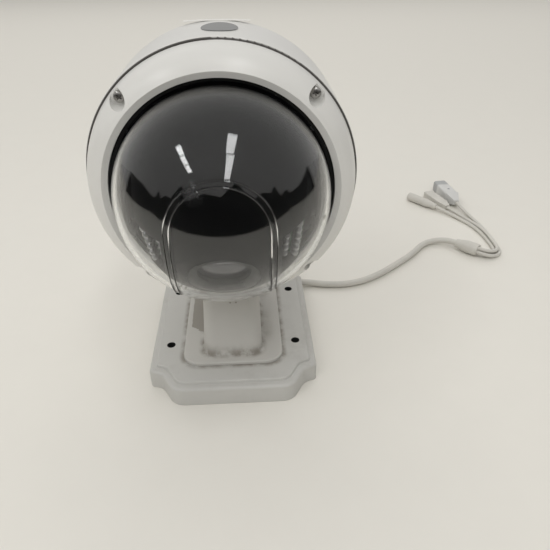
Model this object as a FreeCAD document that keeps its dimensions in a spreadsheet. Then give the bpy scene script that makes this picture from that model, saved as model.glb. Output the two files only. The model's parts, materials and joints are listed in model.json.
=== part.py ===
import FreeCAD, Part
import math
import os
import Sketcher
from FreeCAD import Placement, Rotation, Vector

# A pan-tilt-zoom dome camera on a wall bracket, standing on its wall plate.
# World frame: origin at the middle of the wall plate's back face, +Z out of the wall, millimetres.
# Dome frame: origin on the dome axis at the ring's seam, its z forwards (world -Y), its y up (world +Z).
# Head frame: origin at the centre of the bubble's sphere, its z along the lens.

doc = FreeCAD.newDocument("ptz_camera")

# ---------------------------------------------------------------- driving dimensions
DRIVING = {
    # dome and housing
    "axis_height": 165.0,        # dome axis above the wall
    "seam_offset": 41.5,         # seam of ring and housing in front of the plate's middle
    "screw_edge": 5.4,           # ring screws inside the seam's edge
    "rim_round": 1.7,            # how far the housing swells behind the seam
    "body_wall": 3.0,
    "body_straight": 62.0,       # straight part of the housing behind the seam; the rest rounds over
    "body_depth": 88.0,
    "flange_room": 5.5,          # room round the bubble flange
    "flange_thick": 5.0,
    "gasket_thick": 0.4,
    # front ring
    "shoulder_depth": 7.0,       # ring's outer face: nearly straight from the seam to its shoulder
    "shoulder_inset": 0.93,
    "ridge_width": 4.0,          # lip to ridge, across
    "ring_ridge_depth": 24.0,
    "lip_gap": 2.9,              # between the bubble and the ring's lip
    "lip_depth": 22.4,
    "lip_thick": 3.0,
    "ring_face_radius": 22.0,
    "screw_inset": 3.1,          # ring screws outside the housing's mouth
    "pocket_width": 11.0,
    "pocket_floor": 7.4,
    # bubble and liner
    "ball_centre": 21.3,         # centre of the bubble's sphere in front of the seam
    "bubble_radius": 70.1,
    "bubble_wall": 2.5,
    "skirt_back": 4.0,           # bubble flange behind the seam
    "flange_lip": 5.9,           # bubble flange beyond its wall
    "sheet_thick": 2.5,
    "liner_gap": 0.8,            # between the bubble and the liner
    "liner_wall": 1.3,
    # turntable, bearing and drive
    "cup_inset": 5.1,            # turntable cup inside the bubble's radius
    "cup_wall": 2.5,
    "cup_back": 38.0,
    "spindle_radius": 15.0,
    "spindle_bore": 11.0,
    "spindle_end": 57.0,
    "gear_module": 1.0,
    "pan_teeth": 80,
    "pinion_teeth": 12,
    "gear_width": 4.0,
    "backlash": 0.16,
    "chassis_front": 46.0,
    "chassis_thick": 3.0,
    "chassis_gap": 7.9,          # chassis inside the housing's wall
    "lug_inset": 3.8,            # chassis screws inside its edge
    "bearing_front": 44.0,
    "bearing_width": 7.0,
    "bearing_radius": 26.0,
    "ball_radius": 2.2,
    "shaft_gap": 0.05,           # radial clearance of a shaft that turns in a hole
    "soft_gap": 0.3,             # room between curved faces that turn past each other
    # tilting head
    "lens_tilt": 30.0,           # lens below straight-ahead, at rest
    "head_gap": 0.9,             # between the liner and the head
    "head_wall": 2.2,
    "head_half": 49.5,
    "core_radius": 36.5,
    "nose_up": 75.0,             # how far the nose reaches above the lens axis, degrees
    "nose_down": 39.0,
    "shell_split": 6.0,
    "bay_side": 34.5,
    "bay_floor": 30.0,
    "bay_half": 24.0,
    "yoke_gap": 5.5,             # between the head and a yoke
    "yoke_thick": 4.5,
    "yoke_half": 16.0,
    "trunnion_radius": 4.0,
    "bush_wall": 2.0,            # wall of a yoke bush
    "tilt_pulley_radius": 24.0,
    "motor_pulley_radius": 6.0,
    "belt_thick": 1.2,
    "belt_width": 4.0,
    "motor_up": 22.5,            # tilt motor above and behind the tilt axis
    "motor_back": 44.0,
    "tilt_motor_radius": 10.0,
    # camera module
    "barrel_radius": 20.0,
    "barrel_wall": 2.5,
    "lens_recess": 7.6,          # barrel's front behind the head's skin
    "barrel_back": 8.0,
    "bezel_lip": 2.0,            # bezel beyond the barrel
    "bezel_width": 6.0,          # bezel's face, across
    "rod_radius": 1.0,
    "rod_inset": 3.0,            # guide rods inside the barrel's bore
    # bracket
    "plate_half_width": 66.5,
    "side_lean": 0.5,            # plate's side narrows by this at its ends
    "plate_half_length": 88.5,
    "cove_width": 10.0,          # first step of the plate's corner, across
    "cove_length": 20.0,         # step of the plate's corner, lengthways
    "tongue_step": 11.0,         # second step of the plate's corner, across
    "step_height": 2.5,          # low step round the plate's top
    "plate_height": 19.0,
    "plate_wall": 4.0,
    "ledge_width": 5.5,
    "hole_inset": 15.1,          # wall bolts inside the plate's edge
    "hole_half_length": 38.0,
    "hole_width": 7.0,
    "pad_half_width": 39.8,
    "pad_inset": 23.0,           # foot pad inside the plate's end
    "pad_height": 3.0,
    "pad_corner": 14.0,
    "arm_base_half": 23.5,
    "arm_inset": 8.5,            # arm inside the foot pad's end
    "arm_top_half": 21.5,
    "arm_top_front": 36.0,
    "arm_top_rear": 16.0,
    "arm_corner": 9.0,
    "arm_wall": 4.0,
    "saddle_gasket": 1.0,
    "arm_web": 11.0,
    "arm_cable_hole": 8.0,
    # cable
    "cable_width": 6.5,
    "leg_width": 4.0,
    "cable_exit_up": 5.2,
    "exit_inset": 2.5,           # cable exit beyond the corner of the stepped end
}

sheet = doc.addObject("Spreadsheet::Sheet", "Dims")
for row, (alias, value) in enumerate(DRIVING.items(), start=1):
    sheet.set("A%d" % row, alias)
    sheet.set("B%d" % row, repr(value))
    sheet.setAlias("B%d" % row, alias)
doc.recompute()


class Size:
    """A length together with the sheet expression that it comes from."""

    def __init__(self, value, text):
        self.value = float(value)
        self.text = text

    def __float__(self):
        return self.value

    def __neg__(self):
        return Size(-self.value, "-(%s)" % self.text)

    def __add__(self, other):
        return Size(self.value + float(other), "(%s + %s)" % (self.text, text_of(other)))

    def __radd__(self, other):
        return self + other

    def __sub__(self, other):
        return Size(self.value - float(other), "(%s - %s)" % (self.text, text_of(other)))

    def __rsub__(self, other):
        return -self + other

    def __mul__(self, other):
        return Size(self.value * float(other), "(%s * %s)" % (self.text, text_of(other)))

    def __rmul__(self, other):
        return self * other

    def __truediv__(self, other):
        return Size(self.value / float(other), "(%s / %s)" % (self.text, text_of(other)))

    def root(self):
        return Size(math.sqrt(self.value), "sqrt(%s)" % self.text)


def text_of(size):
    return size.text if isinstance(size, Size) else "(%.6f)" % size


class Sheet:
    """Reads a driving dimension by its alias."""

    def __getattr__(self, alias):
        return Size(sheet.get(alias), "Dims." + alias)


d = Sheet()

# ---------------------------------------------------------------- bought-in sizes
# screws are (shank radius, head radius, head height); each has its clearance and thread holes
M4, M4_CLEAR, M4_THREAD = (2.0, 4.0, 2.8), 2.2, 2.1
M3, M3_CLEAR, M3_THREAD = (1.5, 2.8, 2.0), 1.7, 1.6
SMALL, SMALL_CLEAR, SMALL_THREAD = (1.2, 2.2, 1.6), 1.7, 1.3
RING_SCREW, RING_SCREW_CLEAR, RING_SCREW_THREAD = (1.8, 3.6, 2.6), 2.2, 1.9
CLAMP_SCREW = (1.2, 1.8, 1.4)
PINION_SHAFT, PULLEY_SHAFT = 2.0, 1.5
LAMP_RADIUS, LAMP_LENGTH = 2.5, 4.0
BOARD_THICK = 1.6

# ---------------------------------------------------------------- sizes that follow from others
lip_radius = d.bubble_radius + d.lip_gap
ring_ridge_radius = lip_radius + d.ridge_width
flange_radius = d.bubble_radius + d.flange_lip
flange_bore = flange_radius + d.flange_room
screw_circle = flange_bore + d.screw_inset
seam_radius = screw_circle + d.screw_edge
body_radius = seam_radius + d.rim_round
chassis_radius = body_radius - d.body_wall - d.chassis_gap
lug_circle = chassis_radius - d.lug_inset
liner_radius = d.bubble_radius - d.bubble_wall - d.liner_gap
head_radius = liner_radius - d.liner_wall - d.head_gap
cup_radius = d.bubble_radius - d.cup_inset
barrel_front = head_radius - d.lens_recess
bezel_radius = d.barrel_radius + d.bezel_lip
bezel_bore = bezel_radius - d.bezel_width
rod_offset = d.barrel_radius - d.barrel_wall - d.rod_inset
yoke_inner = d.head_half + d.yoke_gap
bush_radius = d.trunnion_radius + d.bush_wall
plate_side_half = d.plate_half_width - d.side_lean
cove_half_width = d.plate_half_width - d.cove_width
tongue_half_width = cove_half_width - d.tongue_step
cove_half_length = d.plate_half_length - d.cove_length
hole_half_width = d.plate_half_width - d.hole_inset
pad_half_length = d.plate_half_length - d.pad_inset
arm_base_depth = pad_half_length - d.arm_inset
skirt_height = d.plate_height - d.step_height
cable_exit_side = cove_half_length + d.exit_inset


def bind(item, prop, size):
    """Set a property, by expression when its size comes from the sheet."""
    if isinstance(size, Size):
        item.setExpression(prop, size.text)
    else:
        setattr(item, prop, size)


def place(item, at):
    item.Placement = Placement(Vector(*[float(value) for value in at]), item.Placement.Rotation)
    for axis, value in zip("xyz", at):
        if isinstance(value, Size):
            item.setExpression("Placement.Base." + axis, value.text)


# ---------------------------------------------------------------- frames and the list of nodes
def world(piece):
    return piece


def in_dome(piece):
    """Stand a piece that was drawn in the dome frame on the dome axis."""
    piece.Placement = Placement(Vector(0, -float(d.seam_offset), float(d.axis_height)),
                                Rotation(Vector(1, 0, 0), 90))
    piece.setExpression("Placement.Base.y", (-d.seam_offset).text)
    piece.setExpression("Placement.Base.z", d.axis_height.text)
    return piece


def in_head(piece):
    """Stand a piece that was drawn in the head frame on the lens axis."""
    centre = -(d.seam_offset + d.ball_centre)
    piece.Placement = Placement(Vector(0, float(centre), float(d.axis_height)),
                                Rotation(Vector(1, 0, 0), 90 + float(d.lens_tilt)))
    piece.setExpression("Placement.Base.y", centre.text)
    piece.setExpression("Placement.Base.z", d.axis_height.text)
    piece.setExpression("Placement.Rotation.Angle", (d.lens_tilt + 90).text)
    return piece


nodes = []


def node(name, piece, frame=world):
    """Give a finished sub-part its name and its frame."""
    frame(piece)
    piece.Label = name
    nodes.append(piece)
    return piece


# ---------------------------------------------------------------- ways of making a shape
def free_name(name):
    return name if doc.getObject(name) is None else free_name(name + "_")


def cylinder(radius, height, at=(0, 0, 0), axis="z"):
    """A cylinder that runs from a point along x, y or z."""
    item = doc.addObject("Part::Cylinder", "Cylinder")
    bind(item, "Radius", radius)
    bind(item, "Height", height)
    turn = {"x": Rotation(Vector(0, 1, 0), 90), "y": Rotation(Vector(1, 0, 0), -90), "z": Rotation()}
    item.Placement = Placement(Vector(), turn[axis])
    place(item, at)
    return item


def box(size, at):
    item = doc.addObject("Part::Box", "Box")
    for prop, value in zip(("Length", "Width", "Height"), size):
        bind(item, prop, value)
    place(item, at)
    return item


def sphere(radius, at=(0, 0, 0)):
    item = doc.addObject("Part::Sphere", "Sphere")
    bind(item, "Radius", radius)
    place(item, at)
    return item


def cut(base, *tools):
    item = doc.addObject("Part::Cut", "Cut")
    item.Base = base
    item.Tool = tools[0] if len(tools) == 1 else fuse(*tools)
    return item


def fuse(*pieces):
    item = doc.addObject("Part::MultiFuse", "Fuse")
    item.Shapes = list(pieces)
    return item


def common(first, second):
    item = doc.addObject("Part::Common", "Common")
    item.Base = first
    item.Tool = second
    return item


def solids(name, shapes):
    """A group of separate solids that were worked out with Part's own functions."""
    item = doc.addObject("Part::Feature", free_name(name))
    item.Shape = Part.makeCompound(shapes)
    return item


def arc_of(start, end, radius):
    """Circle and angles of the short arc between two points; a positive radius turns left."""
    chord = end - start
    reach = math.sqrt(max(radius * radius - chord.Length ** 2 / 4, 0))
    side = Vector(-chord.y, chord.x, 0).normalize() * math.copysign(reach, radius)
    centre = (start + end) * 0.5 + side
    first, last = (start, end) if radius > 0 else (end, start)
    angles = [math.atan2(point.y - centre.y, point.x - centre.x) for point in (first, last)]
    return Part.ArcOfCircle(Part.Circle(centre, Vector(0, 0, 1), abs(radius)), angles[0], angles[1])


def draw_loop(sketch, corners):
    """Closed outline in a sketch. A corner is (x, y), or (x, y, radius) if an arc leads to the next."""
    spots = [Vector(float(corner[0]), float(corner[1]), 0) for corner in corners]
    ends = []
    for index, corner in enumerate(corners):
        start, end = spots[index], spots[(index + 1) % len(spots)]
        if len(corner) == 3:
            edge = sketch.addGeometry(arc_of(start, end, float(corner[2])), False)
            ends.append((edge, 1, 2) if float(corner[2]) > 0 else (edge, 2, 1))
        else:
            edge = sketch.addGeometry(Part.LineSegment(start, end), False)
            ends.append((edge, 1, 2))
    for index, corner in enumerate(corners):
        edge, first, last = ends[index]
        following = ends[(index + 1) % len(ends)]
        sketch.addConstraint(Sketcher.Constraint("Coincident", edge, last, following[0], following[1]))
        for kind, value, axis in (("DistanceX", corner[0], -2), ("DistanceY", corner[1], -1)):
            if not isinstance(value, Size) and value == 0:
                sketch.addConstraint(Sketcher.Constraint("PointOnObject", edge, first, axis))
                continue
            fixed = sketch.addConstraint(Sketcher.Constraint(kind, -1, 1, edge, first, float(value)))
            if isinstance(value, Size):
                sketch.setExpression("Constraints[%d]" % fixed, value.text)
        if len(corner) == 3:
            size = corner[2] if float(corner[2]) > 0 else -corner[2]
            fixed = sketch.addConstraint(Sketcher.Constraint("Radius", edge, float(size)))
            if isinstance(size, Size):
                sketch.setExpression("Constraints[%d]" % fixed, size.text)


def draw_circle(sketch, centre, radius):
    spot = Vector(float(centre[0]), float(centre[1]), 0)
    edge = sketch.addGeometry(Part.Circle(spot, Vector(0, 0, 1), float(radius)), False)
    for kind, value, axis in (("DistanceX", centre[0], -2), ("DistanceY", centre[1], -1)):
        if not isinstance(value, Size) and value == 0:
            sketch.addConstraint(Sketcher.Constraint("PointOnObject", edge, 3, axis))
            continue
        fixed = sketch.addConstraint(Sketcher.Constraint(kind, -1, 1, edge, 3, float(value)))
        if isinstance(value, Size):
            sketch.setExpression("Constraints[%d]" % fixed, value.text)
    fixed = sketch.addConstraint(Sketcher.Constraint("Radius", edge, float(radius)))
    if isinstance(radius, Size):
        sketch.setExpression("Constraints[%d]" % fixed, radius.text)


def new_body(name):
    return doc.addObject("PartDesign::Body", free_name(name))


def new_sketch(body, role, lift=0.0):
    """Sketch on one of the body's own origin planes, lifted along the plane's normal."""
    sketch = body.newObject("Sketcher::SketchObject", "Sketch")
    plane = [item for item in body.Origin.OriginFeatures if item.Role == role][0]
    sketch.AttachmentSupport = [(plane, "")]
    sketch.MapMode = "FlatFace"
    sketch.AttachmentOffset = Placement(Vector(0, 0, float(lift)), Rotation())
    if isinstance(lift, Size):
        sketch.setExpression(".AttachmentOffset.Base.z", lift.text)
    return sketch


def turned(name, profile, more=()):
    """A body turned about z. Its profile's corners are (radius, z)."""
    body = new_body(name)
    sketch = new_sketch(body, "XZ_Plane")
    for loop in (profile,) + tuple(more):
        draw_loop(sketch, loop)
    feature = body.newObject("PartDesign::Revolution", "Turned")
    feature.Profile = sketch
    feature.ReferenceAxis = (sketch, ["V_Axis"])
    feature.Angle = 360
    return body


def washer(name, bore, radius, low, high):
    return turned(name, [(bore, low), (radius, low), (radius, high), (bore, high)])


def pad(body, loops, low, height, circles=()):
    """Add a block of a given height to a body, above a given height."""
    sketch = new_sketch(body, "XY_Plane", low)
    for loop in loops:
        draw_loop(sketch, loop)
    for centre, radius in circles:
        draw_circle(sketch, centre, radius)
    feature = body.newObject("PartDesign::Pad", "Pad")
    feature.Profile = sketch
    bind(feature, "Length", height)
    return feature


def pocket(body, top, depth, loops=(), circles=()):
    """Cut downwards from a given height, and check that something was cut."""
    doc.recompute()
    before = body.Shape.Volume
    sketch = new_sketch(body, "XY_Plane", top)
    for loop in loops:
        draw_loop(sketch, loop)
    for centre, radius in circles:
        draw_circle(sketch, centre, radius)
    feature = body.newObject("PartDesign::Pocket", "Pocket")
    feature.Profile = sketch
    bind(feature, "Length", depth)
    doc.recompute()
    assert body.Shape.Volume < before - 1, "a pocket in %s cut nothing" % body.Name
    return feature


def round_uprights(body, radius, low, near):
    """Round the upright edges that start at a height and whose x is near one of the given sizes."""
    doc.recompute()
    names = []
    for index, edge in enumerate(body.Shape.Edges, start=1):
        ends = [vertex.Point for vertex in edge.Vertexes]
        if len(ends) < 2 or not isinstance(edge.Curve, Part.Line):
            continue
        upright = abs(ends[0].x - ends[1].x) + abs(ends[0].y - ends[1].y) < 1e-6
        starts = abs(min(end.z for end in ends) - float(low)) < 1e-6
        if upright and starts and any(abs(abs(ends[0].x) - float(x)) < 0.01 for x in near):
            names.append("Edge%d" % index)
    feature = body.newObject("PartDesign::Fillet", "Fillet")
    feature.Base = (body.Tip if body.Tip != feature else feature.BaseFeature, names)
    bind(feature, "Radius", radius)
    body.Tip = feature
    return feature


def rounded_rectangle(half_x, low_y, high_y, corner):
    """Corners of a rectangle with four round corners, anticlockwise."""
    return [(-half_x + corner, low_y), (half_x - corner, low_y, corner),
            (half_x, low_y + corner), (half_x, high_y - corner, corner),
            (half_x - corner, high_y), (-half_x + corner, high_y, corner),
            (-half_x, high_y - corner), (-half_x, low_y + corner, corner)]


def polar(radius, degrees):
    angle = math.radians(degrees)
    return (radius * math.cos(angle), radius * math.sin(angle))


def screw(spot, kind, length, turn=Rotation()):
    """Pan-head screw: the head's seat is at the spot and the shank runs down from it."""
    shank_radius, head_radius, head_height = kind
    shank = Part.makeCylinder(shank_radius, length, Vector(0, 0, -length))
    head = Part.makeCylinder(head_radius, head_height)
    rim = [edge for edge in head.Edges if edge.BoundBox.ZMin > head_height / 2 and edge.BoundBox.XLength > 1]
    head = head.makeFillet(head_height * 0.45, rim)
    slots = [Part.makeBox(head_radius * 1.1, 0.7, 1.2, Vector(-head_radius * 0.55, -0.35, head_height - 1.0)),
             Part.makeBox(0.7, head_radius * 1.1, 1.2, Vector(-0.35, -head_radius * 0.55, head_height - 1.0))]
    shape = shank.fuse(head).removeSplitter()
    for slot in slots:
        shape = shape.cut(slot)
    shape.Placement = Placement(Vector(*[float(value) for value in spot]), turn)
    return shape


def spur_gear(module, teeth, bore, low, width, backlash, turn=0.0):
    """Involute spur gear about z, with short teeth so that a small pinion runs free."""
    pitch = module * teeth / 2
    base = pitch * math.cos(math.radians(20))
    tip = pitch + 0.8 * module
    root = pitch - 1.15 * module

    def spread(radius):
        """Half the angle of a tooth at a radius."""
        def involute(at_radius):
            slope = math.sqrt(max((at_radius / base) ** 2 - 1, 0))
            return slope - math.atan(slope)
        half = math.pi / (2 * teeth) - backlash / (2 * pitch)
        return half + involute(pitch) - involute(max(radius, base))

    start = max(base, root)
    flank = [start + (tip - start) * step / 4 for step in range(5)]
    points = []
    for tooth in range(teeth):
        middle = math.radians(turn) + 2 * math.pi * tooth / teeth
        rising = [(root, middle - spread(start))] if root < base else []
        rising += [(radius, middle - spread(radius)) for radius in flank]
        falling = [(radius, 2 * middle - angle) for radius, angle in reversed(rising)]
        points += [Vector(radius * math.cos(angle), radius * math.sin(angle), low)
                   for radius, angle in rising + falling]
    face = Part.Face(Part.makePolygon(points + points[:1]))
    gear = face.extrude(Vector(0, 0, width))
    return gear.cut(Part.makeCylinder(bore, width + 2, Vector(0, 0, low - 1)))


# ================================================================ bracket
def plate_outline(inset):
    """Plate outline with its four stepped corners; the factors keep the ledge even along each side."""
    side = (d.plate_half_width - inset, plate_side_half - 0.78 * inset)
    cove = (cove_half_width - 0.67 * inset, cove_half_length - 0.86 * inset)
    tongue = (tongue_half_width - 0.59 * inset, d.plate_half_length - inset)
    corners = []
    for sign_x, sign_y in ((1, -1), (1, 1), (-1, 1), (-1, -1)):
        quarter = [(x * sign_x, y * sign_y) for x, y in (tongue, cove, side)]
        corners += quarter if sign_x * sign_y < 0 else quarter[::-1]
    return corners


def plate_rounding(body, inset, low, side, curve):
    round_uprights(body, side, low, [d.plate_half_width - inset])
    round_uprights(body, curve, low,
                   [cove_half_width - 0.67 * inset, tongue_half_width - 0.59 * inset])


plate = new_body("plate_casting")
plate_loop = plate_outline(0 * d.ledge_width)
pad(plate, [plate_loop], 0.0, skirt_height)
plate_rounding(plate, 0 * d.ledge_width, 0.0, 4.0, 13.0)
pad(plate, [plate_outline(d.ledge_width)], skirt_height, d.plate_height - skirt_height)
plate_rounding(plate, d.ledge_width, skirt_height, 2.5, 11.0)
cavity_top = d.plate_height - d.plate_wall
pocket(plate, cavity_top, cavity_top, [plate_outline(d.plate_wall)])
plate_holes = [(sx * hole_half_width, sy * d.hole_half_length) for sx in (-1, 1) for sy in (-1, 1)]
boss_radius = d.hole_width / 2 + 4
pad(plate, [], 0.0, cavity_top, [(spot, boss_radius) for spot in plate_holes])
arm_bosses = [(sx * 14.5, sy * 40.0) for sx in (-1, 1) for sy in (-1, 1)]
pocket(plate, d.plate_height, d.plate_height, circles=[(spot, d.hole_width / 2) for spot in plate_holes])
pocket(plate, d.plate_height, d.plate_wall,
       circles=[((0, 0), 16.0)] + [(spot, M4_CLEAR) for spot in arm_bosses])
notch = cylinder(5.0, 20.0, (cove_half_width - 14, cable_exit_side, d.cable_exit_up), "x")
notch_foot = box((20.0, 10.0, d.cable_exit_up), (cove_half_width - 14, cable_exit_side - 5, 0.0))
node("wall_plate", cut(plate, notch, notch_foot))

# grommet in the notch of the plate's skirt, with a collar on each side of the skirt
grommet_start = cove_half_width - 9.0
grommet_length = 14.0
grommet_radius = 4.9
grommet_place = (grommet_start, cable_exit_side, d.cable_exit_up)
grommet = cut(cylinder(grommet_radius, grommet_length, grommet_place, "x"),
              cylinder(d.cable_width / 2, grommet_length, grommet_place, "x"))
node("cable_grommet", grommet)

# arm with its foot pad: a hollow tapered casting whose top is a saddle for the round housing
arm_foot = d.plate_height + d.pad_height
arm_top = d.axis_height - body_radius + 7.0


def loft(body, subtractive, sections):
    """Loft between outlines, each given with its height."""
    sketches = []
    for outline, height in sections:
        sketch = new_sketch(body, "XY_Plane", height)
        draw_loop(sketch, outline)
        sketches.append(sketch)
    kind = "PartDesign::SubtractiveLoft" if subtractive else "PartDesign::AdditiveLoft"
    feature = body.newObject(kind, "Loft")
    feature.Profile = sketches[0]
    feature.Sections = sketches[1:]
    feature.Ruled = True


arm = new_body("arm_casting")
pad(arm, [rounded_rectangle(d.pad_half_width, -pad_half_length, pad_half_length, d.pad_corner)],
    d.plate_height, d.pad_height)
loft(arm, False, [
    (rounded_rectangle(d.arm_base_half, -arm_base_depth, arm_base_depth, d.arm_corner), arm_foot),
    (rounded_rectangle(d.arm_top_half, -d.arm_top_front, d.arm_top_rear, d.arm_corner), arm_top)])
web_height = arm_top - d.arm_web - 6.0
share = (web_height - arm_foot) / (arm_top - arm_foot)
hollow_corner = d.arm_corner - d.arm_wall
foot_hollow = [d.arm_base_half - d.arm_wall, -arm_base_depth + d.arm_wall, arm_base_depth - d.arm_wall]
web_hollow = [d.arm_base_half - d.arm_wall - share * (d.arm_base_half - d.arm_top_half),
              -arm_base_depth + d.arm_wall + share * (arm_base_depth - d.arm_top_front),
              arm_base_depth - d.arm_wall - share * (arm_base_depth - d.arm_top_rear)]
loft(arm, True, [(rounded_rectangle(*foot_hollow, hollow_corner), arm_foot),
                 (rounded_rectangle(*web_hollow, hollow_corner), web_height)])
pocket(arm, arm_foot, d.pad_height, [rounded_rectangle(*foot_hollow, hollow_corner)])
pad(arm, [], d.plate_height, 20.0, [(spot, 5.2) for spot in arm_bosses])
pocket(arm, d.plate_height + 18.0, 18.0, circles=[(spot, M4_THREAD) for spot in arm_bosses])
saddle_spots = [(sx * 13.0, y) for sx in (-1, 1) for y in (-25.0, 8.0)]
saddle_holes = [(spot, M4_THREAD) for spot in saddle_spots]
pocket(arm, arm_top, 20.0, circles=[((0, 0), d.arm_cable_hole)] + saddle_holes)
saddle_radius = body_radius + d.saddle_gasket
saddle = cylinder(saddle_radius, 200.0, (0, -100, d.axis_height), "y")
node("bracket_arm", cut(arm, saddle))

# soft gasket between the saddle and the housing
gasket_block = new_body("arm_gasket_block")
gasket_outline = rounded_rectangle(d.arm_top_half - 0.8, -d.arm_top_front, d.arm_top_rear, d.arm_corner - 1)
pad(gasket_block, [gasket_outline], arm_top - 15, 15.0)
pocket(gasket_block, arm_top, 15.0,
       circles=[((0, 0), d.arm_cable_hole)] + [(spot, 2.4) for spot in saddle_spots])
gasket_shell = cut(cylinder(saddle_radius, 200.0, (0, -100, d.axis_height), "y"),
                   cylinder(body_radius, 200.0, (0, -100, d.axis_height), "y"))
node("arm_gasket", common(gasket_block, gasket_shell))

# M4 screws: four up into the arm's foot, four down from inside the housing into the saddle
boss_face = d.axis_height - body_radius + 6.5
foot_screws = [screw((x, y, cavity_top), M4, 18.0, Rotation(Vector(1, 0, 0), 180))
               for x, y in arm_bosses]
saddle_screws = [screw((x, y, boss_face), M4, 18.0) for x, y in saddle_spots]
node("arm_screws", solids("arm_screws", foot_screws + saddle_screws))

# ================================================================ housing and front ring
inner_radius = body_radius - d.body_wall
back_corner = d.body_depth - d.body_straight
rim_corner = body_radius - seam_radius
body_outer = turned("housing_outer", [
    (0, 0), (seam_radius, 0, -rim_corner), (body_radius, -rim_corner),
    (body_radius, -d.body_straight, -back_corner),
    (body_radius - back_corner, -d.body_depth), (0, -d.body_depth)])
body_inner = turned("housing_inner", [
    (0, 1.0), (flange_bore, 1.0), (flange_bore, -d.flange_thick), (inner_radius, -d.flange_thick - 4),
    (inner_radius, -d.body_straight, d.body_wall - back_corner),
    (body_radius - back_corner, -d.body_depth + d.body_wall), (0, -d.body_depth + d.body_wall)])
screw_angles = (45.0, 135.0, 225.0, 315.0)
ring_spots = [polar(screw_circle, angle) for angle in screw_angles]
lug_back = 12.0
lug_top = -(d.chassis_front + d.chassis_thick)
lug_angles = (0.0, 90.0, 180.0, 235.0, 305.0)
lugs = []
for angle in lug_angles:
    lug = cylinder(5.0, lug_back, (*polar(lug_circle, angle), lug_top - lug_back))
    rib = box((20.0, 7.0, lug_back), (lug_circle, -3.5, lug_top - lug_back))
    rib.Placement = Placement(Vector(0, 0, 0), Rotation(Vector(0, 0, 1), angle)).multiply(rib.Placement)
    rib.setExpression("Placement.Base.x", None)
    rib.setExpression("Placement.Base.y", None)
    lugs += [lug, rib]
ring_bosses = [cylinder(5.0, 16.0, (x, y, -16.0)) for x, y in ring_spots]
saddle_boss_height = 14.0
saddle_bosses = [cylinder(5.5, saddle_boss_height,
                          (x, boss_face - d.axis_height - saddle_boss_height, -(y + d.seam_offset)), "y")
                 for x, y in saddle_spots]
hollow = cut(body_inner, *(lugs + ring_bosses + saddle_bosses))
thread_holes = [cylinder(RING_SCREW_THREAD, 13.0, (x, y, -13.0)) for x, y in ring_spots]
lug_holes = [cylinder(M3_THREAD, 10.0, (*polar(lug_circle, angle), lug_top - 10.0)) for angle in lug_angles]
saddle_holes = [cylinder(2.3, 30.0, (x, -body_radius - 5, -(y + d.seam_offset)), "y")
                for x, y in saddle_spots]
cable_hole = cylinder(d.arm_cable_hole, 30.0, (0, -body_radius - 5, -d.seam_offset), "y")
node("housing_shell", cut(cut(body_outer, hollow), *(thread_holes + lug_holes + saddle_holes + [cable_hole])),
     in_dome)

ring_gasket = new_body("ring_gasket")
pad(ring_gasket, [], 0.0, d.gasket_thick, [((0, 0), seam_radius - 0.9), ((0, 0), flange_bore)])
pocket(ring_gasket, d.gasket_thick, d.gasket_thick, circles=[(spot, 2.4) for spot in ring_spots])
node("ring_gasket", ring_gasket, in_dome)

ring_solid = turned("ring_solid", [
    (lip_radius, d.gasket_thick), (seam_radius, d.gasket_thick),
    (seam_radius - d.shoulder_inset, d.shoulder_depth, d.ring_face_radius),
    (ring_ridge_radius, d.ring_ridge_depth), (lip_radius, d.lip_depth)])
ring_hollow = turned("ring_hollow", [
    (lip_radius - 1, d.gasket_thick - 1), (seam_radius - 3, d.gasket_thick - 1),
    (seam_radius - 3.3, d.shoulder_depth - 1.5), (ring_ridge_radius + 2, d.ring_ridge_depth - 6),
    (lip_radius + 3, d.lip_depth - d.lip_thick), (lip_radius - 1, d.lip_depth - d.lip_thick)])
pocket_radius = d.pocket_width / 2
boss_blocks = [cylinder(pocket_radius + 1.6, 30.0, (x, y, d.gasket_thick - 2)) for x, y in ring_spots]
pocket_cuts = []
for x, y in ring_spots:
    pocket_cuts.append(cylinder(pocket_radius, 30.0, (x, y, d.pocket_floor)))
    pocket_cuts.append(cylinder(RING_SCREW_CLEAR, 10.0, (x, y, -2.0)))
node("front_ring", cut(cut(ring_solid, cut(ring_hollow, *boss_blocks)), *pocket_cuts), in_dome)

node("ring_screws", solids("ring_screws", [
    screw((float(x), float(y), float(d.pocket_floor)), RING_SCREW, 15.0) for x, y in ring_spots]), in_dome)

# black lip that closes the gap between ring and bubble, held in the ring
lip_back = d.lip_depth - d.lip_thick
wiper_bore = d.bubble_radius + d.soft_gap + 0.1
node("wiper_seal", washer("wiper_seal", wiper_bore, lip_radius + 3, lip_back - 2, lip_back), in_dome)

# plain round badge and plain label on top of the housing
badge_ring = cut(cylinder(body_radius + 0.5, 60.0, (0, 0, -60.0)), cylinder(body_radius, 60.0, (0, 0, -60.0)))
badge_post = doc.addObject("Part::Ellipsoid", "Ellipsoid")
badge_post.Radius1 = 40.0
badge_post.Radius2 = 12.0
badge_post.Radius3 = 16.5
badge_post.Placement = Placement(Vector(1.5, float(body_radius), -33.0), Rotation(Vector(1, 0, 0), 90))
badge_post.setExpression("Placement.Base.y", body_radius.text)
node("blank_badge", common(badge_ring, badge_post), in_dome)
label_curve = 400.0      # the strip is stiffer than the housing is round, so its ends stand off
label_middle = -1.0
label_length = 46.0
label_width = 5.0
label_film = 0.4
label_back = -64.0
label_place = (label_middle, body_radius - label_curve, label_back)
label_strip = cut(cylinder(label_curve + label_film, label_width, label_place),
                  cylinder(label_curve, label_width, label_place))
label_ends = box((label_length, 20.0, label_width),
                 (label_middle - label_length / 2, body_radius - 15, label_back))
node("blank_label", common(label_strip, label_ends), in_dome)

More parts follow.
